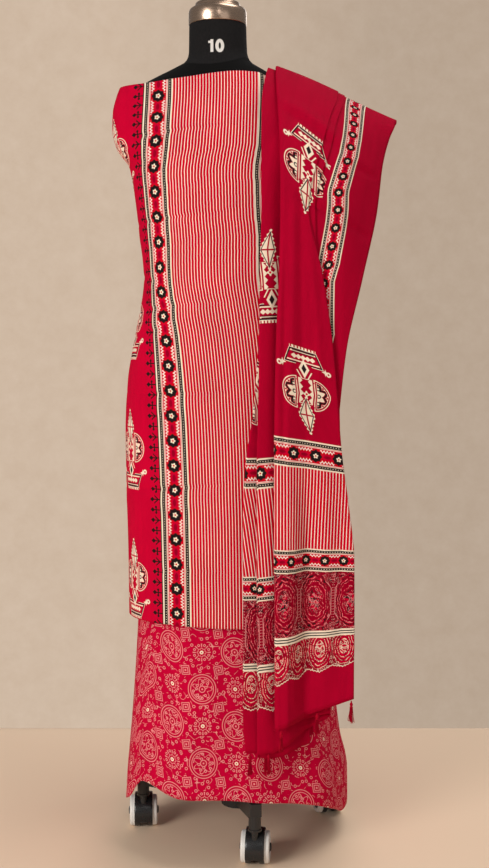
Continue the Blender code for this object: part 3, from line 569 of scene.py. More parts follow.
def shawl_prints():
    end = Print("shawl_end", "wine")
    x = end.u.wrap(ARCH_PITCH)
    scallop = (SCALLOP_EDGE - 0.006) - end.v + abs(x) * 0.40 - end.u.teeth(0.0052, 0.0016)
    arch = reach(x, (end.v - TRIPLE_LINE + 0.022) * 0.55) - 0.0205
    nested = arch + (end.noise(80.0, 1.0) - 0.5) * 0.0050
    inside = arch.most(scallop)
    end.lay(scallop, "deep")
    lay_scrolls(end, 0.0070, "cream", 2.0, 0.00030)
    lay_scrolls(end, 0.0092, "deep", 6.0, 0.00070)
    end.lay(inside, "crimson")
    end.lay((abs(nested.wrap(0.0041)) - 0.00030).most(inside, -0.0150 - arch), "cream")
    lay_scrolls(end, 0.0080, "deep", 8.0, 0.00060, inside)
    lay_scrolls(end, 0.0062, "cream", 4.0, 0.00030, (arch + 0.0120).most(scallop))
    end.lay(-scallop, "wine")
    end.lay((abs(scallop + 0.0008) - 0.0007).most(end.v - TRIPLE_LINE), "cream")

    triple = Print("shawl_lines", "cream")
    for up in (0.0043, 0.0088):
        triple.lay(abs(triple.v - TRIPLE_LINE - up) - 0.0010, "black")

    panel = Print("shawl_panel", "deep")
    middle = (TRIPLE_TOP + PANEL_TOP) / 2
    lay_medallions(panel, (panel.u - MEDALLION_SHIFT).wrap(MEDALLION_PITCH), panel.v - middle,
                   (PANEL_TOP - TRIPLE_TOP) / 2, MEDALLION_PITCH)

    low = end_border("shawl_border_low", PANEL_TOP, LOW_BORDER_TOP)
    stripes = Print("shawl_stripes", "red")
    lay_stripes(stripes, stripes.u, SHAWL_STRIPE)
    high = end_border("shawl_border_high", STRIPE_TOP, HIGH_BORDER_TOP)

    field = Print("shawl_field", "wine")
    drift = (field.v - 0.60) * BUTTA_DRIFT - (field.v - 0.572).done("MINIMUM", 0.0) * 0.28
    aside = field.u - BUTTA_COLUMN - drift
    column = (aside / BUTTA_ACROSS + 0.5).done("FLOOR")
    odd = column.done("FLOORED_MODULO", 2.0)
    slant = ((field.v - 0.60) * 1.25 + 0.14).done("MAXIMUM", 0.0).done("MINIMUM", 0.62)
    x = aside.wrap(BUTTA_ACROSS)
    up = field.v - HIGH_BORDER_TOP - BUTTA_FIRST + odd * BUTTA_DROP - x * slant * (1.0 - odd)
    y = up.wrap(BUTTA_ALONG) * (1.0 - odd * 2.0)
    lay_butta(field, x, y, "wine")

    strip = Print("shawl_side", "wine")
    across = strip.u - (SIDE_BORDER_START + SIDE_BORDER / 2)
    for start, run, shift in SIDE_DRIFTS:
        across = across - (strip.v - start).done("DIVIDE", run, clamp=True) * shift
    lay_border(strip, across, strip.v, SIDE_BORDER)
    return [cloth.finish(roughness=0.76)
            for cloth in (end, triple, panel, low, stripes, high, field, strip)]


LATTICE_ACROSS, LATTICE_UP = 0.0600, 0.1320


def skirt_print():
    cloth = Print("skirt_print", "cherry")
    u, v = cloth.u, cloth.v
    column = (u / LATTICE_ACROSS + 0.5).done("FLOOR")
    half_drop = column.done("FLOORED_MODULO", 2.0) * (LATTICE_UP / 2)
    x, y = u.wrap(LATTICE_ACROSS), (v + half_drop).wrap(LATTICE_UP)
    cloth.lay(abs(cloth.spots(0.0135, 1.0) - 0.0022) - 0.00055, "rose")
    curl = abs(cloth.noise(62.0, 0.0) - 0.5) * 0.026 - 0.00035
    broken = (0.50 - cloth.noise(130.0, 1.0, 4.0)) * 0.02
    cloth.lay(curl.most(broken), "rose")

    wheel, turn = reach(x * 1.06, y), bearing(x, y)
    cloth.lay(wheel - 0.0290, "cherry")
    cloth.lay((abs(wheel - 0.0262) - 0.0007).least(abs(wheel - 0.0216) - 0.0006), "rose")
    cloth.lay(abs(wheel - 0.0150 - (turn * 7).done("COSINE") * 0.0040) - 0.0007, "rose")
    cloth.lay((abs(cloth.spots(0.0088, 2.0) - 0.0019) - 0.0006).most(wheel - 0.0195), "rose")
    cloth.lay(wheel - 0.0066, "cherry")
    cloth.lay((abs(wheel - 0.0056) - 0.0007).least(wheel - 0.0016), "rose")

    fy = (y + LATTICE_UP / 2).wrap(LATTICE_UP)
    flower, spin = reach(x, fy), bearing(x, fy)
    cloth.lay(flower - 0.0180, "cherry")
    cloth.lay(flower - 0.0034, "cream")
    cloth.lay(flower - 0.0012, "cherry")
    cloth.lay(abs(flower - 0.0072 - (spin * 8).done("COSINE") * 0.0008) - 0.0006, "rose")
    eighths = spin * (8 / (2 * math.pi))
    ray = abs(eighths.wrap(1.0)) * 0.0086 - 0.0007
    cloth.lay(ray.most(flower - 0.0160, 0.0098 - flower), "rose")
    beads = (eighths + 0.5).wrap(1.0) * (2 * math.pi * 0.0135 / 8)
    cloth.lay(abs(reach(flower - 0.0135, beads) - 0.0018) - 0.0006, "rose")

    sx = (u + LATTICE_ACROSS / 2).wrap(LATTICE_ACROSS)
    sy = (v + LATTICE_UP / 4).wrap(LATTICE_UP / 2)
    tx, ty = turned(sx, sy, 9)
    square = abs(tx).most(abs(ty))
    cloth.lay(square - 0.0096, "cherry")
    frames = (abs(square - 0.0076) - 0.0006).least(abs(square - 0.0046) - 0.0006)
    cloth.lay(frames.least(square - 0.0016), "rose")
    return cloth.finish()


# ---------------------------------------------------------------- tables of the drape
FORM_COLUMNS = ("height", "centre", "left", "right", "front", "back", "square")
FORM_SECTIONS = (
    (0.765, -0.012, 0.155, 0.155, 0.102, 0.102, 2.2),
    (0.800, -0.013, 0.163, 0.163, 0.110, 0.110, 2.2),
    (0.860, -0.014, 0.1658, 0.1658, 0.1136, 0.1156, 2.2),
    (0.940, -0.017, 0.149, 0.149, 0.102, 0.105, 2.2),
    (1.030, -0.021, 0.120, 0.120, 0.088, 0.082, 2.1),
    (1.120, -0.025, 0.134, 0.134, 0.100, 0.084, 2.2),
    (1.215, -0.029, 0.150, 0.150, 0.120, 0.088, 2.3),
    (1.290, -0.032, 0.158, 0.154, 0.106, 0.090, 2.4),
    (1.340, -0.034, 0.174, 0.168, 0.090, 0.086, 2.3),
    (1.375, -0.036, 0.181, 0.173, 0.078, 0.080, 2.2),
    (1.398, -0.037, 0.176, 0.158, 0.071, 0.076, 2.1),
    (1.420, -0.037, 0.147, 0.136, 0.067, 0.071, 2.1),
    (1.436, -0.037, 0.118, 0.1125, 0.064, 0.067, 2.0),
    (1.452, -0.037, 0.084, 0.0835, 0.060, 0.063, 2.0),
    (1.466, -0.037, 0.059, 0.061, 0.057, 0.059, 2.0),
    (1.482, -0.037, 0.0535, 0.0545, 0.0540, 0.0550, 2.0),
    (1.531, -0.037, 0.0525, 0.0525, 0.0525, 0.0525, 2.0),
)
KURTA_SECTIONS = (
    (0.430, 0.000, 0.2090, 0.196, 0.1640, 0.1720, 2.7),
    (0.550, 0.000, 0.2095, 0.195, 0.1580, 0.1640, 2.7),
    (0.690, 0.000, 0.2120, 0.194, 0.1520, 0.1530, 2.7),
    (0.785, 0.000, 0.2125, 0.193, 0.1490, 0.1450, 2.7),
    (0.880, 0.000, 0.2075, 0.190, 0.1460, 0.1360, 2.6),
    (0.940, 0.000, 0.1975, 0.186, 0.1430, 0.1290, 2.6),
    (1.000, 0.000, 0.1850, 0.180, 0.1400, 0.1210, 2.6),
    (1.068, 0.000, 0.1755, 0.172, 0.1370, 0.1120, 2.6),
    (1.160, 0.000, 0.1840, 0.160, 0.1325, 0.1040, 2.6),
    (1.235, 0.000, 0.1930, 0.148, 0.1260, 0.0990, 2.7),
    (1.275, 0.000, 0.2010, 0.140, 0.1190, 0.0980, 2.7),
    (1.308, 0.000, 0.2240, 0.142, 0.1130, 0.0960, 2.6),
    (1.345, 0.000, 0.2320, 0.148, 0.1020, 0.0930, 2.5),
    (1.375, 0.000, 0.2310, 0.146, 0.0860, 0.0860, 2.4),
    (1.400, 0.000, 0.2250, 0.134, 0.0765, 0.0785, 2.3),
    (1.440, 0.000, 0.2090, 0.106, 0.0662, 0.0690, 2.2),
)
SKIRT_SECTIONS = (
    (0.070, 0.000, 0.2220, 0.210, 0.2120, 0.2120, 2.4),
    (0.130, 0.000, 0.2170, 0.209, 0.2080, 0.2090, 2.4),
    (0.200, -0.002, 0.2080, 0.196, 0.1930, 0.1930, 2.4),
    (0.300, -0.004, 0.1980, 0.186, 0.1720, 0.1720, 2.4),
    (0.420, -0.006, 0.1890, 0.178, 0.1500, 0.1520, 2.4),
    (0.560, -0.008, 0.1820, 0.174, 0.1360, 0.1380, 2.3),
    (0.700, -0.010, 0.1760, 0.171, 0.1260, 0.1280, 2.3),
    (0.860, -0.014, 0.1712, 0.1712, 0.1182, 0.1212, 2.2),
    (0.940, -0.017, 0.1560, 0.156, 0.1090, 0.1120, 2.2),
)
RIM_COLUMNS = ("share", "rim", "hem")
KURTA_RIM = (
    (-1.00, 1.428, 0.436), (-0.70, 1.424, 0.430), (-0.50, 1.418, 0.427), (-0.35, 1.419, 0.440),
    (-0.20, 1.427, 0.443), (0.00, 1.438, 0.439), (0.11, 1.436, 0.445), (0.155, 1.428, 0.448),
    (0.20, 1.405, 0.448), (0.35, 1.380, 0.446), (0.50, 1.358, 0.440), (0.70, 1.395, 0.436),
    (0.86, 1.426, 0.438), (1.00, 1.428, 0.438),
)
SKIRT_RIM = (
    (-1.00, 0.935, 0.100), (-0.72, 0.932, 0.094), (-0.52, 0.930, 0.077), (-0.40, 0.931, 0.079),
    (-0.33, 0.931, 0.098), (-0.27, 0.932, 0.144), (-0.14, 0.934, 0.133), (0.00, 0.936, 0.135),
    (0.10, 0.935, 0.128), (0.20, 0.934, 0.113), (0.28, 0.933, 0.087), (0.37, 0.932, 0.060),
    (0.45, 0.931, 0.062), (0.52, 0.930, 0.071), (0.72, 0.932, 0.096), (1.00, 0.935, 0.102),
)
SHAWL_COLUMNS = ("turn", "out", "up", "pitch", "slope", "lift", "drop", "lean", "edge", "tuck",
                 "front", "inner", "back_1", "pleat_2", "back_2", "pleat_3", "far")
SHAWL_ROWS = (
    (0, -.238, .2815, .0048, 0, .050, .053, 0, .156, .140, .2045, .065, .165,
     .035, .130, .014, .137),
    (0, -.230, .350, .0050, 0, .034, .056, 0, .156, .140, .205, .065, .165, .035, .130, .010, .135),
    (0, -.221, .432, .0050, 0, .013, .057, 0, .156, .140, .206, .065, .165, .035, .130, .010, .132),
    (0, -.214, .575, .0052, 0, -.004, .057, 0, .158, .140, .205, .064, .165,
     .034, .130, .010, .130),
    (0, -.209, .680, .0052, 0, -.012, .053, 0, .168, .140, .195, .064, .165,
     .034, .130, .010, .130),
    (0, -.206, .780, .0052, 0, -.020, .046, 0, .172, .136, .182, .064, .163,
     .034, .130, .014, .130),
    (0, -.204, .865, .0050, 0, -.016, .040, .020, .179, .146, .174, .065, .160,
     .036, .135, .027, .133),
    (0, -.201, .960, .0048, 0, -.012, .026, .040, .190, .144, .165, .067, .160,
     .038, .140, .036, .138),
    (0, -.194, 1.080, .0046, 0, -.012, .013, .060, .218, .138, .147, .072, .163,
     .039, .148, .041, .143),
    (0, -.184, 1.200, .0042, .012, -.008, .005, .080, .245, .134, .122, .074, .166,
     .042, .155, .044, .148),
    (0, -.163, 1.300, .0036, .040, 0, 0, .070, .257, .160, .145, .073, .170,
     .042, .160, .045, .155),
    (14, -.131, 1.372, .0028, .064, 0, 0, .050, .271, .175, .162, .070, .175,
     .043, .166, .047, .162),
    (38, -.0935, 1.4200, .0022, .086, 0, 0, .020, .282, .188, .176, .068, .178,
     .049, .170, .053, .168),
    (66, -.046, 1.4514, .0021, .098, 0, 0, 0, .289, .194, .182, .069, .180, .055, .172, .058, .170),
    (90, .002, 1.4592, .0021, .104, 0, 0, 0, .294, .196, .184, .072, .180, .057, .172, .060, .170),
    (114, .050, 1.4518, .0022, .100, 0, 0, 0, .292, .194, .182, .081, .180, .056, .172, .058, .170),
    (142, .096, 1.420, .0026, .086, 0, 0, 0, .287, .190, .178, .080, .178, .052, .170, .054, .168),
    (166, .132, 1.362, .0030, .064, 0, 0, .010, .280, .184, .172, .078, .175,
     .047, .166, .049, .163),
    (180, .152, 1.260, .0040, .036, 0, 0, .020, .268, .172, .160, .077, .170,
     .043, .160, .044, .156),
    (180, .166, 1.100, .0046, .010, -.004, .010, .020, .244, .150, .158, .074, .165,
     .038, .150, .036, .146),
    (180, .188, .900, .0050, 0, 0, .024, .010, .216, .146, .172, .068, .163,
     .034, .140, .026, .138),
    (180, .210, .680, .0052, 0, .010, .037, 0, .196, .142, .186, .062, .163,
     .030, .132, .014, .132),
    (180, .229, .430, .0052, 0, .026, .048, 0, .180, .140, .194, .060, .163,
     .028, .130, .008, .130),
)
SHAWL_LAYERS = {"edge": 2, "tuck": 1, "front": 0, "inner": 3, "back_1": 4, "pleat_2": 5,
                "back_2": 6, "pleat_3": 7}
LEAN_START, LEAN_END, LEAN_POWER = 0.180, 0.290, 1.3
SHAWL_FOLD_STEPS, SHAWL_RUN_STEPS = 8, 4
# A fold's rounding at the most, how far apart its stops lie to be a full fold, and how much of an
# open one is eased.
FOLD_RADIUS, FOLD_REACH, OPEN_FOLD_EASE = 0.006, 0.010, 0.30
SHOULDER_SLOPE = ((0.040, 0.095), (0.118, -0.185), (0.200, -0.55), (0.277, -0.90), (0.294, -0.97))
# How far each share of the width hangs below the front layer, in drops.
SAG = ((0.36, 0.0), (0.47, 0.40), (0.60, 1.0), (0.74, 1.22), (0.88, 0.95), (1.00, 1.05))
# An upright bend down the front fall: between these places the cloth turns back by the depth
# given for each height, and the part to its left stands forward. From the full depth on, the
# cloth's columns keep to the bend.
BEND_START, BEND_END, BEND_FORWARD, BEND_FULL = 0.087, 0.118, 0.6, 0.004
FRONT_BEND = ((0.20, 0.020), (0.32, 0.027), (0.45, 0.029), (0.60, 0.023), (0.75, 0.012),
              (0.90, 0.005), (1.05, 0.001), (1.15, 0.0))
TASSELS = {
    "front": ((0, 0.200), (0, 0.140), (0, 0.076), (4, 0.055), (6, 0.022), (7, 0.050)),
    "back": ((0, 0.188), (0, 0.128), (0, 0.068), (6, 0.014)),
}
KURTA_THICKNESS, SHAWL_THICKNESS = 0.0014, 0.0011


# ---------------------------------------------------------------- smooth curves
def read_table(columns, rows):
    return {name: [row[i] for row in rows] for i, name in enumerate(columns)}


def smooth_at(stops, values, at):
    """A smooth curve through the values that never overshoots between its stops."""
    last = len(stops) - 1
    if at <= stops[0]:
        return values[0]
    if at >= stops[last]:
        return values[last]
    i = 0
    while i < last - 1 and stops[i + 1] <= at:
        i += 1

    def rise(k):
        return (values[k + 1] - values[k]) / (stops[k + 1] - stops[k])

    def slope_at(k):
        if k == 0 or k == last:
            return rise(min(k, last - 1))
        before, after = rise(k - 1), rise(k)
        return 2 * before * after / (before + after) if before * after > 0 else 0.0

    span = stops[i + 1] - stops[i]
    t = (at - stops[i]) / span
    start = values[i] * (1 + 2 * t) * (1 - t) ** 2 + span * slope_at(i) * t * (1 - t) ** 2
    end = values[i + 1] * t * t * (3 - 2 * t) - span * slope_at(i + 1) * t * t * (1 - t)
    return start + end


def smooth_on(pairs, at):
    return smooth_at(*zip(*pairs), at)


def section_at(table, height):
    return {name: smooth_at(table["height"], values, height)
            for name, values in table.items() if name != "height"}


def oval_point(section, turn):
    across, along = math.sin(turn), math.cos(turn)
    power = 2.0 / section["square"]
    half_width = section["right"] if across > 0 else section["left"]
    half_depth = section["front"] if along > 0 else section["back"]
    x = math.copysign(abs(across) ** power, across) * half_width
    y = -math.copysign(abs(along) ** power, along) * half_depth
    return Vector((section["centre"] + x, y))


def along_creases(creases, x, z):
    """How far the cloth stands out at a place in front view, from the listed creases."""
    total = 0.0
    for width, depth, points in creases:
        best, where = math.inf, 0.0
        for i, (a, b) in enumerate(zip(points, points[1:])):
            dx, dz = b[0] - a[0], b[1] - a[1]
            t = max(0.0, min(1.0, ((x - a[0]) * dx + (z - a[1]) * dz) / (dx * dx + dz * dz)))
            away = math.hypot(x - a[0] - t * dx, z - a[1] - t * dz)
            if away < best:
                best, where = away, (i + t) / (len(points) - 1)
        if best < 3 * width:
            end = min(1.0, 4 * where + 0.15, 4 * (1 - where) + 0.15)
            total += depth * end * math.exp(-(best / width) ** 2)
    return total


# ---------------------------------------------------------------- sheets
def cloth_piece(name, spots, zone_of, materials, thickness, uv_from=lambda _: 1):
    """Builds a sheet from its grid of (place, u, v) spots, each face printed as its zone says.

    A spot may hold a second pair (u, v) after the first; uv_from says where a zone's pair starts.
    """
    rows, columns = len(spots) - 1, len(spots[0]) - 1
    bm = bmesh.new()
    bmesh.ops.create_grid(bm, x_segments=columns, y_segments=rows, size=0.5)
    where = {}
    for corner in bm.verts:
        where[corner] = tuple(round((at + 0.5) * count)
                              for at, count in ((corner.co.y, rows), (corner.co.x, columns)))
    for corner, (row, column) in where.items():
        corner.co = spots[row][column][0] + STAND_PLACE
    layer = bm.loops.layers.uv.new("cloth")
    for face in bm.faces:
        corners = [where[corner] for corner in face.verts]
        row, column = min(r for r, _ in corners), min(c for _, c in corners)
        face.material_index = zone_of(row, column)
        for loop in face.loops:
            r, c = where[loop.vert]
            loop[layer].uv = spots[r][c][uv_from(face.material_index):][:2]
    piece = piece_from(bm, name, materials)
    wall = piece.modifiers.new("cloth", "SOLIDIFY")
    wall.thickness = thickness
    wall.offset = 0.0
    return piece


class Wrap:
    """A cloth wrapped round the form, read from its table of plan ovals.

    Each side goes round past the back by the lap, in radians, and the right one stands out there
    by the lap's gap. A share of the way round is 0 at the front's middle, -1 and 1 at the ends.
    """

    LEVELS, POINTS, STEPS = 180, 96, 160
    LAP_START, LAP_FULL = 0.70, 0.88
    CREASED_BACK = 0.02                 # only what lies before this is creased

    def __init__(self, sections, rim, lap, lap_gap, fold):
        table = read_table(FORM_COLUMNS, sections)
        self.rim, self.lap_gap, self.fold = read_table(RIM_COLUMNS, rim), lap_gap, fold
        self.low, self.high = sections[0][0], sections[-1][0]
        self.sides, self.centres = {-1: [], 1: []}, []
        for i in range(self.LEVELS + 1):
            section = section_at(table, self.low + (self.high - self.low) * i / self.LEVELS)
            self.centres.append(section["centre"])
            for side in (-1, 1):
                self.sides[side].append(self.evenly(section, side, lap))

    def evenly(self, section, side, lap):
        """The length of one side of an oval past the back by the lap, and even points along it."""
        walk = [oval_point(section, side * (math.pi + lap) * i / self.STEPS)
                for i in range(self.STEPS + 1)]
        lengths = [0.0]
        for a, b in zip(walk, walk[1:]):
            lengths.append(lengths[-1] + (b - a).length)
        points, i = [], 0
        for k in range(self.POINTS + 1):
            goal = lengths[-1] * k / self.POINTS
            while i < self.STEPS - 1 and lengths[i + 1] < goal:
                i += 1
            t = (goal - lengths[i]) / (lengths[i + 1] - lengths[i])
            points.append(walk[i].lerp(walk[i + 1], min(1.0, t)))
        return lengths[-1], points

    def level(self, height):
        at = (height - self.low) / (self.high - self.low) * self.LEVELS
        at = max(0.0, min(self.LEVELS - 1e-6, at))
        return int(at), at - int(at)

    def length(self, side, height):
        i, t = self.level(height)
        rows = self.sides[side]
        return rows[i][0] * (1 - t) + rows[i + 1][0] * t

    def spot(self, share, height):
        """The cloth's place, and the way it faces."""
        i, t = self.level(height)
        at = min(self.POINTS - 1e-6, abs(share) * self.POINTS)
        k, s = int(at), at - int(at)
        rows = self.sides[1 if share > 0 else -1]
        lower = rows[i][1][k].lerp(rows[i][1][k + 1], s)
        upper = rows[i + 1][1][k].lerp(rows[i + 1][1][k + 1], s)
        spot = lower.lerp(upper, t)
        outward = Vector((spot.x - self.centres[i], spot.y)).normalized()
        over = ramp(share, self.LAP_START, self.LAP_FULL) * self.lap_gap
        spot = spot + outward * (self.fold(share, height) + over)
        return Vector((spot.x, spot.y, height)), Vector((outward.x, outward.y, 0))

    def height(self, share, along):
        low = smooth_at(self.rim["share"], self.rim["hem"], share)
        high = smooth_at(self.rim["share"], self.rim["rim"], share)
        return low + along * (high - low)

    def share_at(self, u, along, start):
        """The share of the way round that lies u along the cloth from its start line."""
        share = 0.0
        for _ in range(4):
            height = self.height(share, along)
            s = u + start(self, height)
            share = max(-1.0, min(1.0, s / self.length(1 if s > 0 else -1, height)))
        return share

    def reach_left(self, x, height):
        """How far round to the left a line at x in front view lies, from the middle."""
        length, points = self.sides[-1][self.level(height)[0]]
        for k in range(self.POINTS):
            if points[k + 1].x <= x:
                step = (points[k].x - x) / (points[k].x - points[k + 1].x)
                return -length * (k + step) / self.POINTS
        return -length / 2

    def grid(self, stops, counts, rows, start, creases):
        """Spots of the whole cloth. The stops are lines of u that its columns keep to."""
        spots = []
        for row in range(rows + 1):
            along, line, ends = row / rows, [], []
            for side in (-1, 1):
                height = self.height(side, along)
                ends.append(side * self.length(side, height) - start(self, height))
            us = cut_spans([ends[0], *stops, ends[1]], counts)
            for k, u in enumerate(us):
                share = self.share_at(u, along, start)
                share = -1.0 if k == 0 else 1.0 if k == len(us) - 1 else share
                spot, outward = self.spot(share, self.height(share, along))
                if spot.y < self.CREASED_BACK:
                    spot += outward * along_creases(creases, spot.x, spot.z)
                below = spots[-1][k] if spots else None
                v = below[2] + (spot - below[0]).length if below else 0.0
                line.append((spot, u, v))
            spots.append(line)
        return spots


def kurta_fold(share, height):
    away = abs(share)
    slack = min(ramp(away, 0.45, 0.65), ramp(away, 0.92, 0.80)) * ramp(height, 1.25, 0.75)
    return 0.004 * slack * math.sin(share * 17.0 + 1.3 * math.sin(height * 4.0))


def skirt_fold(share, height):
    slack = ramp(abs(share), 0.94, 0.84) * ramp(height, 0.62, 0.27)
    return 0.0035 * slack * math.sin(share * math.pi * 9 + 2.0 * math.sin(share * 3.1))


# Creases: half width, how far they stand out (below 0 a trough), and their line in front view.
KURTA_CREASES = (
    (0.0036, -0.0019, ((-0.215, 1.316), (-0.1027, 1.329), (0.020, 1.340))),
    (0.0120, 0.0008, ((-0.210, 1.292), (-0.1027, 1.306), (0.020, 1.316))),
    (0.0036, -0.0020, ((-0.205, 1.166), (-0.1019, 1.177), (0.020, 1.185))),
    (0.0130, 0.0009, ((-0.205, 1.140), (-0.1019, 1.150), (0.020, 1.160))),
    (0.0050, -0.0022, ((-0.205, 1.006), (-0.1021, 1.0205), (0.020, 1.031))),
    (0.0130, 0.0014, ((-0.205, 0.978), (-0.1021, 0.994), (0.020, 1.004))),
    (0.0036, -0.0016, ((-0.215, 0.858), (-0.1028, 0.8628), (0.020, 0.865))),
    (0.0130, 0.0008, ((-0.215, 0.832), (-0.1028, 0.838), (0.020, 0.840))),
    (0.0036, -0.0020, ((-0.225, 0.681), (-0.1035, 0.694), (0.025, 0.704))),
    (0.0130, 0.0010, ((-0.225, 0.655), (-0.1035, 0.668), (0.025, 0.678))),
    (0.0050, -0.0009, ((-0.225, 0.526), (-0.1219, 0.5425), (0.020, 0.547))),
    (0.0040, 0.0016, ((-0.205, 1.289), (-0.1931, 1.297), (-0.1661, 1.3146))),
    (0.0040, -0.0014, ((-0.0171, 0.9056), (0.015, 0.8788))),
    (0.0050, -0.0018, ((-0.200, 1.085), (-0.165, 1.066), (-0.130, 1.060))),
    (0.0050, -0.0016, ((-0.195, 0.955), (-0.160, 0.972), (-0.120, 0.985))),
)
# Columns of the side, the near border, the stripes, the far border and the other side, and the
# place of each one's print in the list of prints.
KURTA_ROWS, KURTA_COUNTS, KURTA_ZONES = 220, (52, 8, 24, 8, 48), (3, 1, 0, 2, 3)
# The border's outer line on the front, in front view.
KURTA_EDGE = ((0.430, -0.1350), (0.4883, -0.1355), (0.6888, -0.1390), (0.862, -0.1452),
              (1.0117, -0.1543), (1.1387, -0.1600), (1.1810, -0.1643), (1.2234, -0.1678),
              (1.2641, -0.1710), (1.3089, -0.1705), (1.4133, -0.1685))


def kurta_start(wrap, height):
    """How far round the border's outer line lies, from the middle."""
    return wrap.reach_left(smooth_on(KURTA_EDGE, height), height)


def make_kurta():
    wrap = Wrap(KURTA_SECTIONS, KURTA_RIM, lap=0.16, lap_gap=0.0060, fold=kurta_fold)
    stops = (0.0, KURTA_BORDER, KURTA_MIDDLE, KURTA_FAR)
    spots = wrap.grid(stops, KURTA_COUNTS, KURTA_ROWS, kurta_start, KURTA_CREASES)
    zones = repeated(KURTA_ZONES, KURTA_COUNTS)
    piece = cloth_piece("kurta", spots, lambda _, column: zones[column], kurta_prints(),
                        KURTA_THICKNESS)
    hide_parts("kurta_cloth")
    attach(piece, "stand")


SKIRT_CREASES = (
    (0.012, 0.0026, ((-0.150, 0.400), (-0.146, 0.300), (-0.140, 0.180))),
    (0.012, -0.0026, ((-0.120, 0.400), (-0.112, 0.280), (-0.105, 0.160))),
    (0.014, 0.0022, ((-0.045, 0.400), (-0.040, 0.280), (-0.036, 0.150))),
    (0.014, 0.0024, ((0.130, 0.260), (0.150, 0.180), (0.160, 0.110))),
)
SKIRT_ROWS, SKIRT_COUNTS = 84, (76, 84)


def make_skirt():
    wrap = Wrap(SKIRT_SECTIONS, SKIRT_RIM, lap=0.14, lap_gap=0.0050, fold=skirt_fold)
    spots = wrap.grid((0.0,), SKIRT_COUNTS, SKIRT_ROWS, lambda *_: 0.0, SKIRT_CREASES)
    piece = cloth_piece("skirt_length", spots, lambda *_: 0, [skirt_print()], KURTA_THICKNESS)
    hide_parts("bottom_cloth")
    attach(piece, "stand")


# ---------------------------------------------------------------- the shawl
def shawl_row(table, share):
    """The shawl's row at a share of its length, from the front hem to the back one."""
    stops = [i / (len(table["turn"]) - 1) for i in range(len(table["turn"]))]
    return {name: smooth_at(stops, values, share) for name, values in table.items()}


def fold_points(x, layer_in, layer_out, k_in, k_out, pitch, steps):
    """The points of one fold, from a layer to the next. The k of a full fold's side is 1 or -1."""
    radius = min(abs(layer_out - layer_in) * pitch / 2, FOLD_RADIUS)
    early, late = OPEN_FOLD_EASE * (1 - abs(k_in)), OPEN_FOLD_EASE * (1 - abs(k_out))
    points = []
    for i in range(steps + 1):
        t = i / steps
        lean = k_in + (k_out - k_in) * t
        rise = early + (1 - early - late) * (1 - math.cos(math.pi * t)) / 2
        layer = layer_in + (layer_out - layer_in) * rise
        points.append((x + radius * (1 - math.sin(math.pi * t)) * lean, layer))
    return points


def bend_depth(row, height):
    """How far back the upright bend turns the cloth: only down the front fall."""
    if row["turn"] >= 90:
        return 0.0
    return smooth_on(FRONT_BEND, height)


def run_stops(row, start, end, run_steps):
    """Places along a run of cloth: three spans, which meet at the bend where there is one."""
    kept = min(1.0, bend_depth(row, row["up"]) / BEND_FULL)
    bends = (BEND_START, BEND_END) if start < end else (BEND_END, BEND_START)
    thirds = (start + (end - start) / 3, start + (end - start) * 2 / 3)
    marks = (start, *(a + (b - a) * kept for a, b in zip(thirds, bends)), end)
    return cut_spans(marks, [run_steps] * 3)[1:]


def shawl_line(row, fold_steps, run_steps):
    """One line across the shawl, from the free edge through every fold to the far edge."""
    names = list(SHAWL_LAYERS)
    stops = [row[name] for name in names] + [row["far"]]
    layer = SHAWL_LAYERS["edge"]
    points = [(stops[0], layer)]
    for i in range(1, len(names)):
        before, here, after = stops[i - 1], stops[i], stops[i + 1]
        k_in, k_out = (max(-1.0, min(1.0, (stop - here) / FOLD_REACH)) for stop in (before, after))
        layer_out = SHAWL_LAYERS[names[i]]
        turn = fold_points(here, layer, layer_out, k_in, k_out, row["pitch"], fold_steps)
        start, end = points[-1][0], turn[0][0]
        if i > 2:
            crossing = run_stops(row, start, end, run_steps)
        else:
            crossing = cut_spans((start, end), [run_steps if i == 2 else 3 * run_steps])[1:]
        points += [(x, layer) for x in crossing[:-1]]
        points += turn
        layer = layer_out
    return points + [(x, layer) for x in run_stops(row, points[-1][0], stops[-1], run_steps)]


def shawl_outward(row):
    turn = math.radians(row["turn"])
    return Vector((0, -math.cos(turn), math.sin(turn)))


def shawl_spot(row, x, layer, across):
    """The place of the cloth at x on a layer, a share of the cloth's width across."""
    sag = row["drop"] * smooth_on(SAG, across)
    lift = row["lift"] * ramp(x, row["inner"], row["front"])
    up = row["up"] + row["slope"] * smooth_on(SHOULDER_SLOPE, x) + lift - sag
    spot = Vector((x, row["out"], up)) - shawl_outward(row) * layer * row["pitch"]
    spot.y += bend_depth(row, up) * (ramp(x, BEND_START, BEND_END) - BEND_FORWARD)
    lean = row["lean"] * ramp(x, LEAN_START, LEAN_END) ** LEAN_POWER
    spot.y += lean if row["turn"] < 90 else -lean
    return spot


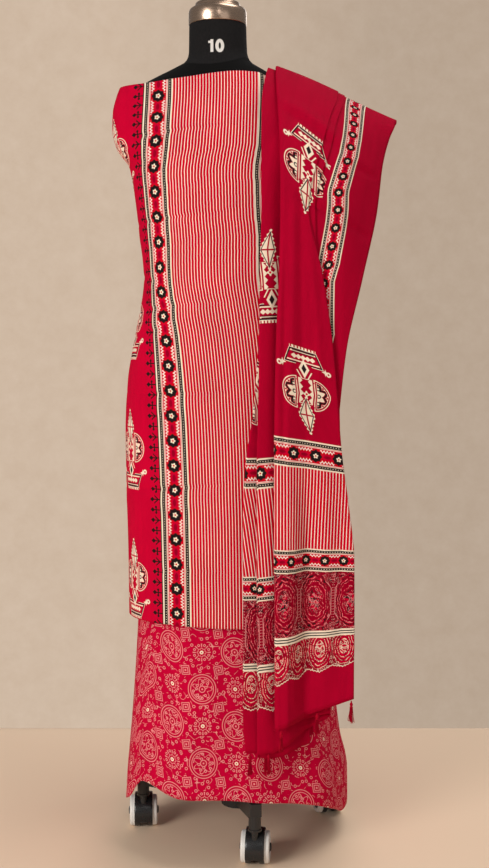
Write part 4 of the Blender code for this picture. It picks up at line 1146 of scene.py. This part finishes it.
SHAWL_CREASES = (
    (0.0080, 0.0046, ((0.0700, 1.3780), (0.1118, 1.3580), (0.1494, 1.3300), (0.1830, 1.3010))),
    (0.0060, -0.0030, ((0.0760, 1.3560), (0.1100, 1.3400), (0.1450, 1.3130), (0.1760, 1.2860))),
    (0.0060, -0.0040, ((0.0980, 1.2080), (0.1213, 1.1943), (0.1454, 1.1825), (0.1713, 1.1673))),
    (0.0090, 0.0028, ((0.1050, 1.2220), (0.1250, 1.2090), (0.1480, 1.1960), (0.1740, 1.1810))),
    (0.0055, -0.0036, ((0.2000, 1.2620), (0.2236, 1.2499), (0.2440, 1.2430))),
    (0.0055, -0.0036, ((0.1860, 1.1640), (0.2076, 1.1486), (0.2320, 1.1340))),
    (0.0045, -0.0018, ((0.0740, 1.2490), (0.0902, 1.2449), (0.1056, 1.2331))),
    (0.0060, 0.0026, ((0.0954, 1.2350), (0.0960, 1.0975), (0.0932, 0.9400), (0.0900, 0.8400))),
    (0.0060, -0.0024, ((0.1093, 1.2000), (0.1098, 1.0975), (0.1103, 1.0000), (0.1120, 0.9000))),
    (0.0055, -0.0022, ((0.0822, 1.1200), (0.0809, 0.9772), (0.0796, 0.8200), (0.0800, 0.7000))),
    (0.0070, 0.0028, ((0.1232, 1.1622), (0.1307, 1.0633), (0.1400, 0.9600), (0.1430, 0.8400))),
    (0.0100, 0.0032, ((0.1500, 0.7600), (0.1540, 0.6200), (0.1560, 0.4800), (0.1580, 0.3300))),
    (0.0080, -0.0034, ((0.1240, 0.7400), (0.1260, 0.5600), (0.1280, 0.4200), (0.1260, 0.3000))),
    (0.0080, 0.0034, ((0.0960, 0.7400), (0.1000, 0.6000), (0.1000, 0.4500), (0.0980, 0.3000))),
    (0.0080, -0.0030, ((0.1780, 0.7000), (0.1820, 0.5600), (0.1840, 0.4300), (0.1860, 0.3300))),
)
CREASED_TURN = 60                       # the steepest turn, in degrees, that is creased
BURIED_LAYER, BURIED_EASE = 3.5, 0.75   # layers past this one are creased by so much less
# Where a lower layer passes behind the fold in front of it, it sinks back: from this layer on,
# between these places, by this much. The last line fades it in and out by height.
SHAWL_SINKS = ((3.5, 0.062, 0.071, 0.012), (5.5, 0.022, 0.036, 0.007))
SINK_TOP, SINK_FULL_TOP, SINK_FULL_FOOT, SINK_FOOT = 1.30, 1.15, 0.32, 0.20
# How many parts a span of a layer is cut into.
SHAWL_CUTS = {SHAWL_LAYERS["front"]: 3, SHAWL_LAYERS["edge"]: 2}
FALL_SHARE = 0.2                        # a share of the length that lies on the front fall


def finer_line(points):
    """The line with the spans of its creased layers cut finer."""
    last = len(points) - 1
    line = [(*points[0], 0.0)]
    for i in range(last):
        (x_a, layer_a), (x_b, layer_b) = points[i], points[i + 1]
        cuts = SHAWL_CUTS.get(layer_a, 1) if layer_a == layer_b else 1
        for j in range(1, cuts + 1):
            t = j / cuts
            line.append((x_a + (x_b - x_a) * t, layer_a + (layer_b - layer_a) * t, (i + t) / last))
    return line


def front_fold_column(table):
    """The column at the left fold of the front layer."""
    row = shawl_row(table, FALL_SHARE)
    line = finer_line(shawl_line(row, SHAWL_FOLD_STEPS, SHAWL_RUN_STEPS))
    return max(i for i, (_, layer, _) in enumerate(line) if layer == SHAWL_LAYERS["front"])


def sunk_in(layer, x, height):
    total = 0.0
    for first, start, end, depth in SHAWL_SINKS:
        if layer > first:
            share = ramp(x, start, end)
            total += depth * share * share * (3 - 2 * share)
    faded = ramp(height, SINK_TOP, SINK_FULL_TOP) * ramp(height, SINK_FOOT, SINK_FULL_FOOT)
    return total * faded


PATH_SAMPLES, PATH_PLACE = 900, 0.110   # the length is measured up this line of the front layer
# Distances from the hem to where each zone of the end print starts, and rows of faces in it. Then
# the field: its last creased distance, and its rows up to there and on from there.
END_STARTS = (0.0, TRIPLE_LINE, TRIPLE_TOP, PANEL_TOP, LOW_BORDER_TOP, STRIPE_TOP,
              HIGH_BORDER_TOP)
END_ROWS, CREASED_TOP, FIELD_ROWS = (13, 2, 10, 5, 13, 5), 1.170, (104, 56)
FIELD_ZONE, SIDE_ZONE, SIDE_ZONE_MARGIN = 6, 7, 0.008


def shawl_path(table):
    """Distances along the shawl from its hem, on the front layer."""
    path, before = [0.0], None
    for i in range(PATH_SAMPLES + 1):
        spot = shawl_spot(shawl_row(table, i / PATH_SAMPLES), PATH_PLACE, 0, 0.2)
        if before is not None:
            path.append(path[-1] + (spot - before).length)
        before = spot
    return path


def share_along(path, v):
    """The share of the shawl's length at a distance along it."""
    v = max(0.0, min(path[-1], v))
    low = next((i for i in range(PATH_SAMPLES) if path[i + 1] >= v), PATH_SAMPLES - 1)
    return (low + (v - path[low]) / (path[low + 1] - path[low])) / PATH_SAMPLES


def shawl_spots(table, path, v, front_fold):
    """One row of spots: u from the free edge, and again from the left fold of the front layer."""
    row = shawl_row(table, share_along(path, v))
    outward = shawl_outward(row)
    from_hem = min(v, path[-1] - v)
    line, u, last = [], 0.0, None
    for x, layer, across in finer_line(shawl_line(row, SHAWL_FOLD_STEPS, SHAWL_RUN_STEPS)):
        spot = shawl_spot(row, x, layer, across)
        u += (spot - last).length if last is not None else 0.0
        last = spot
        if row["turn"] < CREASED_TURN:
            ease = 1.0 if layer < BURIED_LAYER else BURIED_EASE
            out = along_creases(SHAWL_CREASES, spot.x, spot.z) * ease
            spot = spot + outward * (out - sunk_in(layer, x, spot.z))
        line.append((spot, u))
    fold = line[front_fold][1]
    return [(spot, u, from_hem, fold - u, from_hem) for spot, u in line]


def on_side_border(u, v):
    across = u - SIDE_BORDER_START - SIDE_BORDER / 2
    for start, run, shift in SIDE_DRIFTS:
        across -= shift * ramp(v, start, start + run)
    return abs(across) < SIDE_BORDER / 2 + SIDE_ZONE_MARGIN


def make_shawl():
    table = read_table(SHAWL_COLUMNS, SHAWL_ROWS)
    path, front_fold = shawl_path(table), front_fold_column(table)
    marks = [*END_STARTS, CREASED_TOP, *(path[-1] - start for start in reversed(END_STARTS))]
    counts = [*END_ROWS, *FIELD_ROWS, *reversed(END_ROWS)]
    zones = repeated([*range(FIELD_ZONE + 1), *reversed(range(FIELD_ZONE + 1))], counts)
    spots = [shawl_spots(table, path, v, front_fold) for v in cut_spans(marks, counts)]

    def zone(row, column):
        (_, u_a, v, *_), (_, u_b, *_) = spots[row][column:column + 2]
        if zones[row] == FIELD_ZONE and on_side_border((u_a + u_b) / 2, v):
            return SIDE_ZONE
        return zones[row]

    piece = cloth_piece("shawl", spots, zone, shawl_prints(), SHAWL_THICKNESS,
                        uv_from=lambda zone: 1 if zone >= FIELD_ZONE else 3)
    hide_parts("shawl_cloth")
    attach(piece, "stand")
    return piece, table


# ---------------------------------------------------------------- tassels
THREAD_DARK, THREAD_LIGHT = (0.20, 0.0004, 0.008), (0.56, 0.0008, 0.026)
TASSEL_FORWARD, TASSEL_LENGTH, TASSEL_THREADS = 0.0022, 0.040, 28
HEM_HALF_THICKNESS = 0.0006
# The wound head and its cord: radius and height, from the hem down.
TASSEL_HEAD = ((0.0010, 0.0), (0.0013, -0.0030), (0.0022, -0.0040), (0.0029, -0.0062),
               (0.0027, -0.0082), (0.0018, -0.0090), (0.0018, -0.0098), (0.0026, -0.0106),
               (0.0031, -0.0120))
# Threads are spread evenly over a disc by this turn from one to the next.
THREAD_TURN, THREAD_STEPS, THREAD_RADIUS = 2.39996, 5, 0.00042
THREAD_ROOT, ROOTS_SPREAD, TIPS_SPREAD = 0.0015, 0.0025, 0.0050


def grained(tree, stretch, scale, detail=2.0):
    """A noise read from object coordinates, stretched by the given scales."""
    place = add_node(tree, "TexCoord")
    drawn = add_node(tree, "Mapping", {"Scale": stretch})
    grain = add_node(tree, "TexNoise", {"Scale": scale, "Detail": detail})
    tree.links.new(place.outputs["Object"], drawn.inputs["Vector"])
    tree.links.new(drawn.outputs[0], grain.inputs["Vector"])
    return grain.outputs["Fac"]


def thread_material():
    material = plain_material("tassel_silk", (0.46, 0.001, 0.020), 0.85)
    tree = material.node_tree
    shader = tree.nodes["Principled BSDF"]
    grain = grained(tree, (900, 900, 60), 1.0)
    tree.links.new(mix_tones(tree, grain, THREAD_DARK, THREAD_LIGHT), shader.inputs["Base Color"])
    shader.inputs["Specular IOR Level"].default_value = 0.08
    return material


def hem_spot(row, line, layer, x):
    """Where the hem's line passes a sideways place on the given layer."""
    last = len(line) - 1
    for i in range(last):
        (x_a, layer_a), (x_b, layer_b) = line[i], line[i + 1]
        if layer_a == layer_b == layer and min(x_a, x_b) <= x <= max(x_a, x_b):
            start = shawl_spot(row, x_a, layer, i / last)
            end = shawl_spot(row, x_b, layer, (i + 1) / last)
            return start.lerp(end, (x - x_a) / (x_b - x_a))
    raise ValueError("no hem there")


def add_thread(bm, index, turn, foot):
    """One loose thread, from inside the head's foot to its own place among the tips."""
    angle = index * THREAD_TURN + turn
    spread = math.sqrt((index + 0.5) / TASSEL_THREADS)
    start = Vector((math.cos(angle), math.sin(angle), 0)) * (ROOTS_SPREAD * spread)
    end_r = TIPS_SPREAD * spread * (1.0 + 0.25 * math.sin(index * 1.7 + turn))
    end = Vector((math.cos(angle + 0.35), math.sin(angle + 0.35), 0)) * end_r
    end.z = -TASSEL_LENGTH + 0.004 * ((index * 7) % 5) / 4
    thread = bmesh.ops.create_circle(bm, cap_ends=True, segments=3, radius=THREAD_RADIUS)["verts"]
    for corner in thread:
        corner.co += Vector((start.x, start.y, foot + THREAD_ROOT))
    tip = thread[0].link_faces[0]
    for step in range(1, THREAD_STEPS + 1):
        t = step / THREAD_STEPS
        sway = Vector((math.sin(index + 3 * t), math.cos(2 * index + 2 * t), 0)) * (0.0007 * t)
        goal = start.lerp(end, t ** 1.2) + sway
        goal.z = foot + t * (end.z - foot)
        tip = bmesh.ops.extrude_discrete_faces(bm, faces=[tip])["faces"][0]
        shift = goal - tip.calc_center_median()
        for corner in tip.verts:
            corner.co += shift


def make_tassel(name, top, turn, material):
    """A wound head on its own short cord, with loose threads let into the head's foot."""
    bm = bmesh.new()
    ring = bmesh.ops.create_circle(bm, cap_ends=True, segments=12, radius=TASSEL_HEAD[0][0])
    face = ring["verts"][0].link_faces[0]
    for radius, height in TASSEL_HEAD[1:]:
        face = bmesh.ops.extrude_discrete_faces(bm, faces=[face])["faces"][0]
        centre = face.calc_center_median()
        for corner in face.verts:
            flat = (corner.co - centre).normalized() * radius
            corner.co = Vector((centre.x + flat.x, centre.y + flat.y, height))
    for index in range(TASSEL_THREADS):
        add_thread(bm, index, turn, TASSEL_HEAD[-1][1])
    bmesh.ops.recalc_face_normals(bm, faces=bm.faces)
    bmesh.ops.translate(bm, verts=bm.verts, vec=top + STAND_PLACE)
    return piece_from(bm, name, [material])


def make_tassels(table):
    material = thread_material()
    for end, share, outward in (("front", 0.0, -1), ("back", 1.0, 1)):
        row = shawl_row(table, share)
        line = shawl_line(row, 2, 1)
        for number, (layer, x) in enumerate(TASSELS[end], 1):
            top = hem_spot(row, line, layer, x)
            top.y += outward * TASSEL_FORWARD
            top.z -= HEM_HALF_THICKNESS + PIECE_GAP
            piece = make_tassel(f"{end}_tassel_{number}", top, number * 0.7, material)
            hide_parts(f"tassel_{end}_{number}")
            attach(piece, "stand")


# ---------------------------------------------------------------- the dress form
JERSEY_DARK, JERSEY_LIGHT = (0.006, 0.0055, 0.006), (0.014, 0.013, 0.0135)
YOKE_TONE, DIGIT_TONE = (0.0010, 0.0009, 0.0010), (0.74, 0.71, 0.68)
NUMBER_PLACE = (-0.0384, 1.4846)        # the middle of the number, in front view
FORM_ROWS, FORM_STEPS = 110, 80


def size_number(x, y, z):
    """A field below 0 inside the figures on the neck: a one with its flag, and a nought."""
    dx, dz = x - NUMBER_PLACE[0], z - NUMBER_PLACE[1]
    one = oblong(dx + 0.0080, dz, 0.0026, 0.0112)
    one = one.least(oblong(dx + 0.0112, dz - 0.0070, 0.0034, 0.0020))
    outer = (reach((dx - 0.0062) / 0.0079, dz / 0.0118) - 1.0) * 0.0079
    inner = (reach((dx - 0.0062) / 0.0021, dz / 0.0058) - 1.0) * 0.0021
    return one.least(outer.most(-inner)).most(y + 0.010)


def form_material():
    """Black jersey: a fine rib, panel seams and a plain size number on the neck."""
    material = plain_material("black_jersey", (0.014, 0.013, 0.014), 0.93)
    tree = material.node_tree
    shader = tree.nodes["Principled BSDF"]
    place, parts = add_node(tree, "TexCoord"), add_node(tree, "SeparateXYZ")
    tree.links.new(place.outputs["Object"], parts.inputs[0])
    x, y, z = (Field(tree, parts.outputs[axis]) - offset
               for axis, offset in zip("XYZ", STAND_PLACE))
    weave = add_node(tree, "TexNoise", {"Scale": 260.0})
    tree.links.new(place.outputs["Object"], weave.inputs["Vector"])
    fuzz = Field(tree, weave.outputs["Fac"])
    base = z - 1.4520 - (x + 0.0520) * (x + 0.0520) * 4.2
    seam = abs(x + 0.040).most(z - 1.452).inside(0.0006).most(abs(base).inside(0.0008))
    yoke = (base.inside(0.0010) * 0.85).most(seam * 0.9)
    tone = mix_tones(tree, fuzz.socket, JERSEY_DARK, JERSEY_LIGHT)
    tone = mix_tones(tree, yoke.socket, tone, YOKE_TONE)
    number = size_number(x, y, z).inside(PRINT_EDGE)
    tree.links.new(mix_tones(tree, number.socket, tone, DIGIT_TONE), shader.inputs["Base Color"])
    rib = x.wave(0.0016) * z.wave(0.0011)
    add_bump(tree, shader, (rib * 0.3 + fuzz - seam * 6.0).socket, 0.5, 0.0004)
    shader.inputs["Specular IOR Level"].default_value = 0.15
    shader.inputs["Sheen Weight"].default_value = 0.02
    shader.inputs["Sheen Roughness"].default_value = 0.4
    return material


def make_form():
    table = read_table(FORM_COLUMNS, FORM_SECTIONS)
    bm = bmesh.new()
    bmesh.ops.create_grid(bm, x_segments=FORM_STEPS, y_segments=FORM_ROWS, size=0.5)
    low, high = FORM_SECTIONS[0][0], FORM_SECTIONS[-1][0]
    heights = cut_spans((low, high), (FORM_ROWS,))
    sections = [section_at(table, height) for height in heights]
    for corner in bm.verts:
        row, step = (round((at + 0.5) * count)
                     for at, count in ((corner.co.y, FORM_ROWS), (corner.co.x, FORM_STEPS)))
        spot = oval_point(sections[row], 2 * math.pi * step / FORM_STEPS)
        corner.co = Vector((spot.x, spot.y, heights[row])) + STAND_PLACE
    bmesh.ops.remove_doubles(bm, verts=bm.verts, dist=0.00001)
    bmesh.ops.holes_fill(bm, edges=bm.edges)
    bmesh.ops.recalc_face_normals(bm, faces=bm.faces)
    piece = piece_from(bm, "form", [form_material()], sharpest=50)
    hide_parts("form_torso")
    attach(piece, "stand")


# ---------------------------------------------------------------- the stand's turned pieces
NECK_CENTRE, NECK_FOOT = -0.037, 1.5313
NECK_CAP = ((0.0, 0.0405), (0.0372, 0.0405), (0.0390, 0.0402), (0.0404, 0.0392),
            (0.0411, 0.0376), (0.0416, 0.0345), (0.0424, 0.0322), (0.0446, 0.0312),
            (0.0478, 0.0301), (0.0503, 0.0287), (0.0521, 0.0265), (0.0531, 0.0236),
            (0.0535, 0.0200), (0.0535, 0.0012), (0.0531, 0.0004), (0.0524, 0.0), (0.0, 0.0))
NECK_KNOB = ((0.0, 0.0320), (0.0050, 0.0319), (0.0100, 0.0313), (0.0140, 0.0302),
             (0.0172, 0.0283), (0.0197, 0.0255), (0.0213, 0.0218), (0.0221, 0.0170),
             (0.0221, 0.0110), (0.0217, 0.0060), (0.0212, 0.0036), (0.0200, 0.0012),
             (0.0190, 0.0), (0.0, 0.0))
WHEEL = ((0.0, 0.0295), (0.0040, 0.0294), (0.0064, 0.0289), (0.0078, 0.0272), (0.0086, 0.0250),
         (0.0096, 0.0243), (0.0160, 0.0240), (0.0196, 0.0243), (0.0206, 0.0250), (0.0213, 0.0262),
         (0.0225, 0.0267), (0.0262, 0.0264), (0.0278, 0.0256), (0.0287, 0.0241), (0.0290, 0.0222),
         (0.0289, 0.0188), (0.0292, 0.0181), (0.0299, 0.0177), (0.0300, 0.0168), (0.0300, 0.0080),
         (0.0298, 0.0074), (0.0292, 0.0072), (0.0046, 0.0072), (0.0046, 0.0222), (0.0, 0.0222))


TURNED_STEPS, HOOD_STEPS, AXLE_STEPS = 72, 48, 32


def turned_piece(name, profile, place, material, node, body, turn=None):
    """A profile of (radius, height) points spun about its own upright axis, then set in place."""
    bm = bmesh.new()
    points = [bm.verts.new((radius, 0, height)) for radius, height in profile]
    edges = [bm.edges.new(pair) for pair in zip(points, points[1:])]
    bmesh.ops.spin(bm, geom=[*points, *edges], axis=(0, 0, 1), cent=(0, 0, 0),
                   angle=2 * math.pi, steps=TURNED_STEPS, use_merge=True)
    bmesh.ops.remove_doubles(bm, verts=bm.verts, dist=0.00001)
    bmesh.ops.recalc_face_normals(bm, faces=bm.faces)
    if turn is not None:
        bmesh.ops.rotate(bm, verts=bm.verts, matrix=turn, cent=(0, 0, 0))
    bmesh.ops.translate(bm, verts=bm.verts, vec=place)
    piece = piece_from(bm, name, [material], sharpest=40)
    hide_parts(node)
    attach(piece, body)


# The caster's hood, seen end on: places across it and out from the axle.
HOOD_GUARD = ((-0.0175, 0.0322), (0.0175, 0.0322), (0.0175, 0.0334), (0.0171, 0.0342),
              (0.0160, 0.0347), (0.0140, 0.0350), (-0.0140, 0.0350), (-0.0160, 0.0347),
              (-0.0171, 0.0342), (-0.0175, 0.0334))
HOOD_WEB = ((-0.0060, 0.0020), (0.0060, 0.0020), (0.0060, 0.0334), (-0.0060, 0.0334))
HOOD_START, HOOD_SWEEP = math.radians(-20), math.radians(160)
AXLE_RADIUS, AXLE_LENGTH, AXLE_TRAIL, WHEEL_RADIUS = 0.0040, 0.0430, 0.020, 0.030
# The upright boss, collar and stem above the hood: radius, foot and top. The stem is let into
# the collar.
COLLAR_FOOT, COLLAR_TOP, STEM_LAP = 0.0705, 0.0745, 0.0010
HOOD_ROUNDS = ((0.0064, 0.0420, COLLAR_FOOT), (0.0125, COLLAR_FOOT, COLLAR_TOP),
               (0.0050, COLLAR_TOP - STEM_LAP, 0.120))


def add_round(bm, radius, length, steps):
    return bmesh.ops.create_cone(bm, cap_ends=True, segments=steps, radius1=radius,
                                 radius2=radius, depth=length)["verts"]


def hood_piece(name, place, turn, material):
    """A hood: its guard, the web between the wheels, the boss, collar and stem, and the axle."""
    bm = bmesh.new()
    for outline in (HOOD_GUARD, HOOD_WEB):
        corners = [bm.verts.new((x, -radius, 0)) for x, radius in outline]
        face = bm.faces.new(corners)
        bmesh.ops.rotate(bm, verts=corners, matrix=Matrix.Rotation(-HOOD_START, 3, "X"))
        bmesh.ops.spin(bm, geom=[face, *face.edges, *corners], axis=(1, 0, 0), cent=(0, 0, 0),
                       angle=-HOOD_SWEEP, steps=HOOD_STEPS, use_merge=False)
    axle = add_round(bm, AXLE_RADIUS, AXLE_LENGTH, AXLE_STEPS)
    bmesh.ops.rotate(bm, verts=axle, matrix=Matrix.Rotation(math.radians(90), 3, "Y"))
    bmesh.ops.translate(bm, verts=bm.verts, vec=(0, AXLE_TRAIL, WHEEL_RADIUS))
    for radius, foot, top in HOOD_ROUNDS:
        post = add_round(bm, radius, top - foot, HOOD_STEPS)
        bmesh.ops.translate(bm, verts=post, vec=(0, 0, (top + foot) / 2))
        rim = [edge for edge in {edge for corner in post for edge in corner.link_edges}
               if all(corner.co.z > top - 0.0002 for corner in edge.verts)]
        bmesh.ops.bevel(bm, geom=rim, offset=0.0006, segments=3, profile=0.5, affect="EDGES",
                        material=-1)
    bmesh.ops.recalc_face_normals(bm, faces=bm.faces)
    bmesh.ops.rotate(bm, verts=bm.verts, matrix=turn, cent=(0, 0, 0))
    bmesh.ops.translate(bm, verts=bm.verts, vec=place)
    piece = piece_from(bm, f"{name}_hood_turned", [material], sharpest=40)
    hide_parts(f"caster_{name}_hood")
    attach(piece, f"{name}_caster")


# ---------------------------------------------------------------- finishes of the stand
def worn_material(name, colour, roughness, metallic=0.0, brushed=(60, 60, 60), depth=0.15):
    """A paint, plastic or metal with a fine grain and an uneven gloss."""
    material = plain_material(name, colour, roughness)
    tree = material.node_tree
    shader = tree.nodes["Principled BSDF"]
    shader.inputs["Metallic"].default_value = metallic
    fuzz = Field(tree, grained(tree, brushed, 8.0, 4.0))
    tree.links.new((fuzz * 0.30 + (roughness - 0.15)).socket, shader.inputs["Roughness"])
    add_bump(tree, shader, fuzz.socket, depth, 0.0003)
    darker = tuple(0.75 * part for part in colour)
    lighter = tuple(min(1.0, 1.25 * part) for part in colour)
    tone = mix_tones(tree, fuzz.socket, darker, lighter)
    tree.links.new(tone, shader.inputs["Base Color"])
    return material


BLACK_PLASTIC, WHITE_RING = (0.012, 0.012, 0.013), (0.80, 0.78, 0.74)
BASE_RADIUS, BASE_TURN = 0.188, 9.5
# Each caster's name, the leg it stands on and the way it heads, in degrees.
CASTERS = (("front", -90, -5), ("right", 0, 14), ("rear", 90, -12), ("left", 180, 4))
RING_INNER, RING_START = 0.0205, 0.0176


def wheel_material(name, centre, axle):
    """White side ring, black hub and tread, read from the distance to the axle."""
    material = worn_material(name, BLACK_PLASTIC, 0.38)
    tree = material.node_tree
    place = add_node(tree, "TexCoord")
    from_axle, along, whole = (add_node(tree, "VectorMath", operation=kind)
                               for kind in ("SUBTRACT", "DOT_PRODUCT", "LENGTH"))
    from_axle.inputs[1].default_value = centre
    along.inputs[1].default_value = axle
    tree.links.new(place.outputs["Object"], from_axle.inputs[0])
    for node in (along, whole):
        tree.links.new(from_axle.outputs[0], node.inputs[0])
    out, length = (Field(tree, node.outputs["Value"]) for node in (along, whole))
    radius = (length * length - out * out).done("SQRT")
    ring = (RING_INNER - radius).most(RING_START - abs(out)).inside(PRINT_EDGE)
    colour = tree.nodes["Principled BSDF"].inputs["Base Color"]
    tone = mix_tones(tree, ring.socket, colour.links[0].from_socket, WHITE_RING)
    tree.links.new(tone, colour)
    return material


def finish_stand(nodes):
    # The steel's brown is partly a bronze tone and partly a painted reflection of the
    # plaster-coloured room.
    steel_and_painted_reflection = worn_material("brushed_steel_painted_reflection", (0.47, 0.335, 0.250), 0.27, 1.0, (8, 8, 400), 0.07)
    black = worn_material("satin_black", (0.013, 0.013, 0.014), 0.42)
    hood = worn_material("hood_plastic", BLACK_PLASTIC, 0.30, depth=0.06)
    nodes["pole"].material_slots[0].material = steel_and_painted_reflection
    nodes["base_frame"].material_slots[0].material = black
    neck = STAND_PLACE + Vector((NECK_CENTRE, 0, NECK_FOOT))
    turned_piece("neck_cap_turned", NECK_CAP, neck, steel_and_painted_reflection, "neck_cap", "stand")
    above = neck + Vector((0, 0, NECK_CAP[1][1] + PIECE_GAP))
    turned_piece("neck_knob_turned", NECK_KNOB, above, steel_and_painted_reflection, "neck_knob", "stand")
    for name, angle, heading in CASTERS:
        leg = math.radians(angle + BASE_TURN)
        turn = Matrix.Rotation(math.radians(heading), 3, "Z")
        centre = STAND_PLACE + Vector((math.cos(leg), math.sin(leg), 0)) * BASE_RADIUS
        hood_piece(name, centre, turn, hood)
        centre += turn @ Vector((0, AXLE_TRAIL, WHEEL_RADIUS))
        paint = wheel_material(f"wheel_{name}", centre, turn @ Vector((1, 0, 0)))
        for side, tip in (("left", -90), ("right", 90)):
            laid = turn @ Matrix.Rotation(math.radians(tip), 3, "Y")
            turned_piece(f"{name}_wheel_{side}_turned", WHEEL, centre, paint,
                         f"caster_{name}_wheel_{side}", f"{name}_wheel_{side}", laid)


make_camera()
make_light()
make_floor()
make_form()
make_skirt()
make_kurta()
shawl_piece, shawl_table = make_shawl()
make_tassels(shawl_table)
finish_stand(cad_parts)
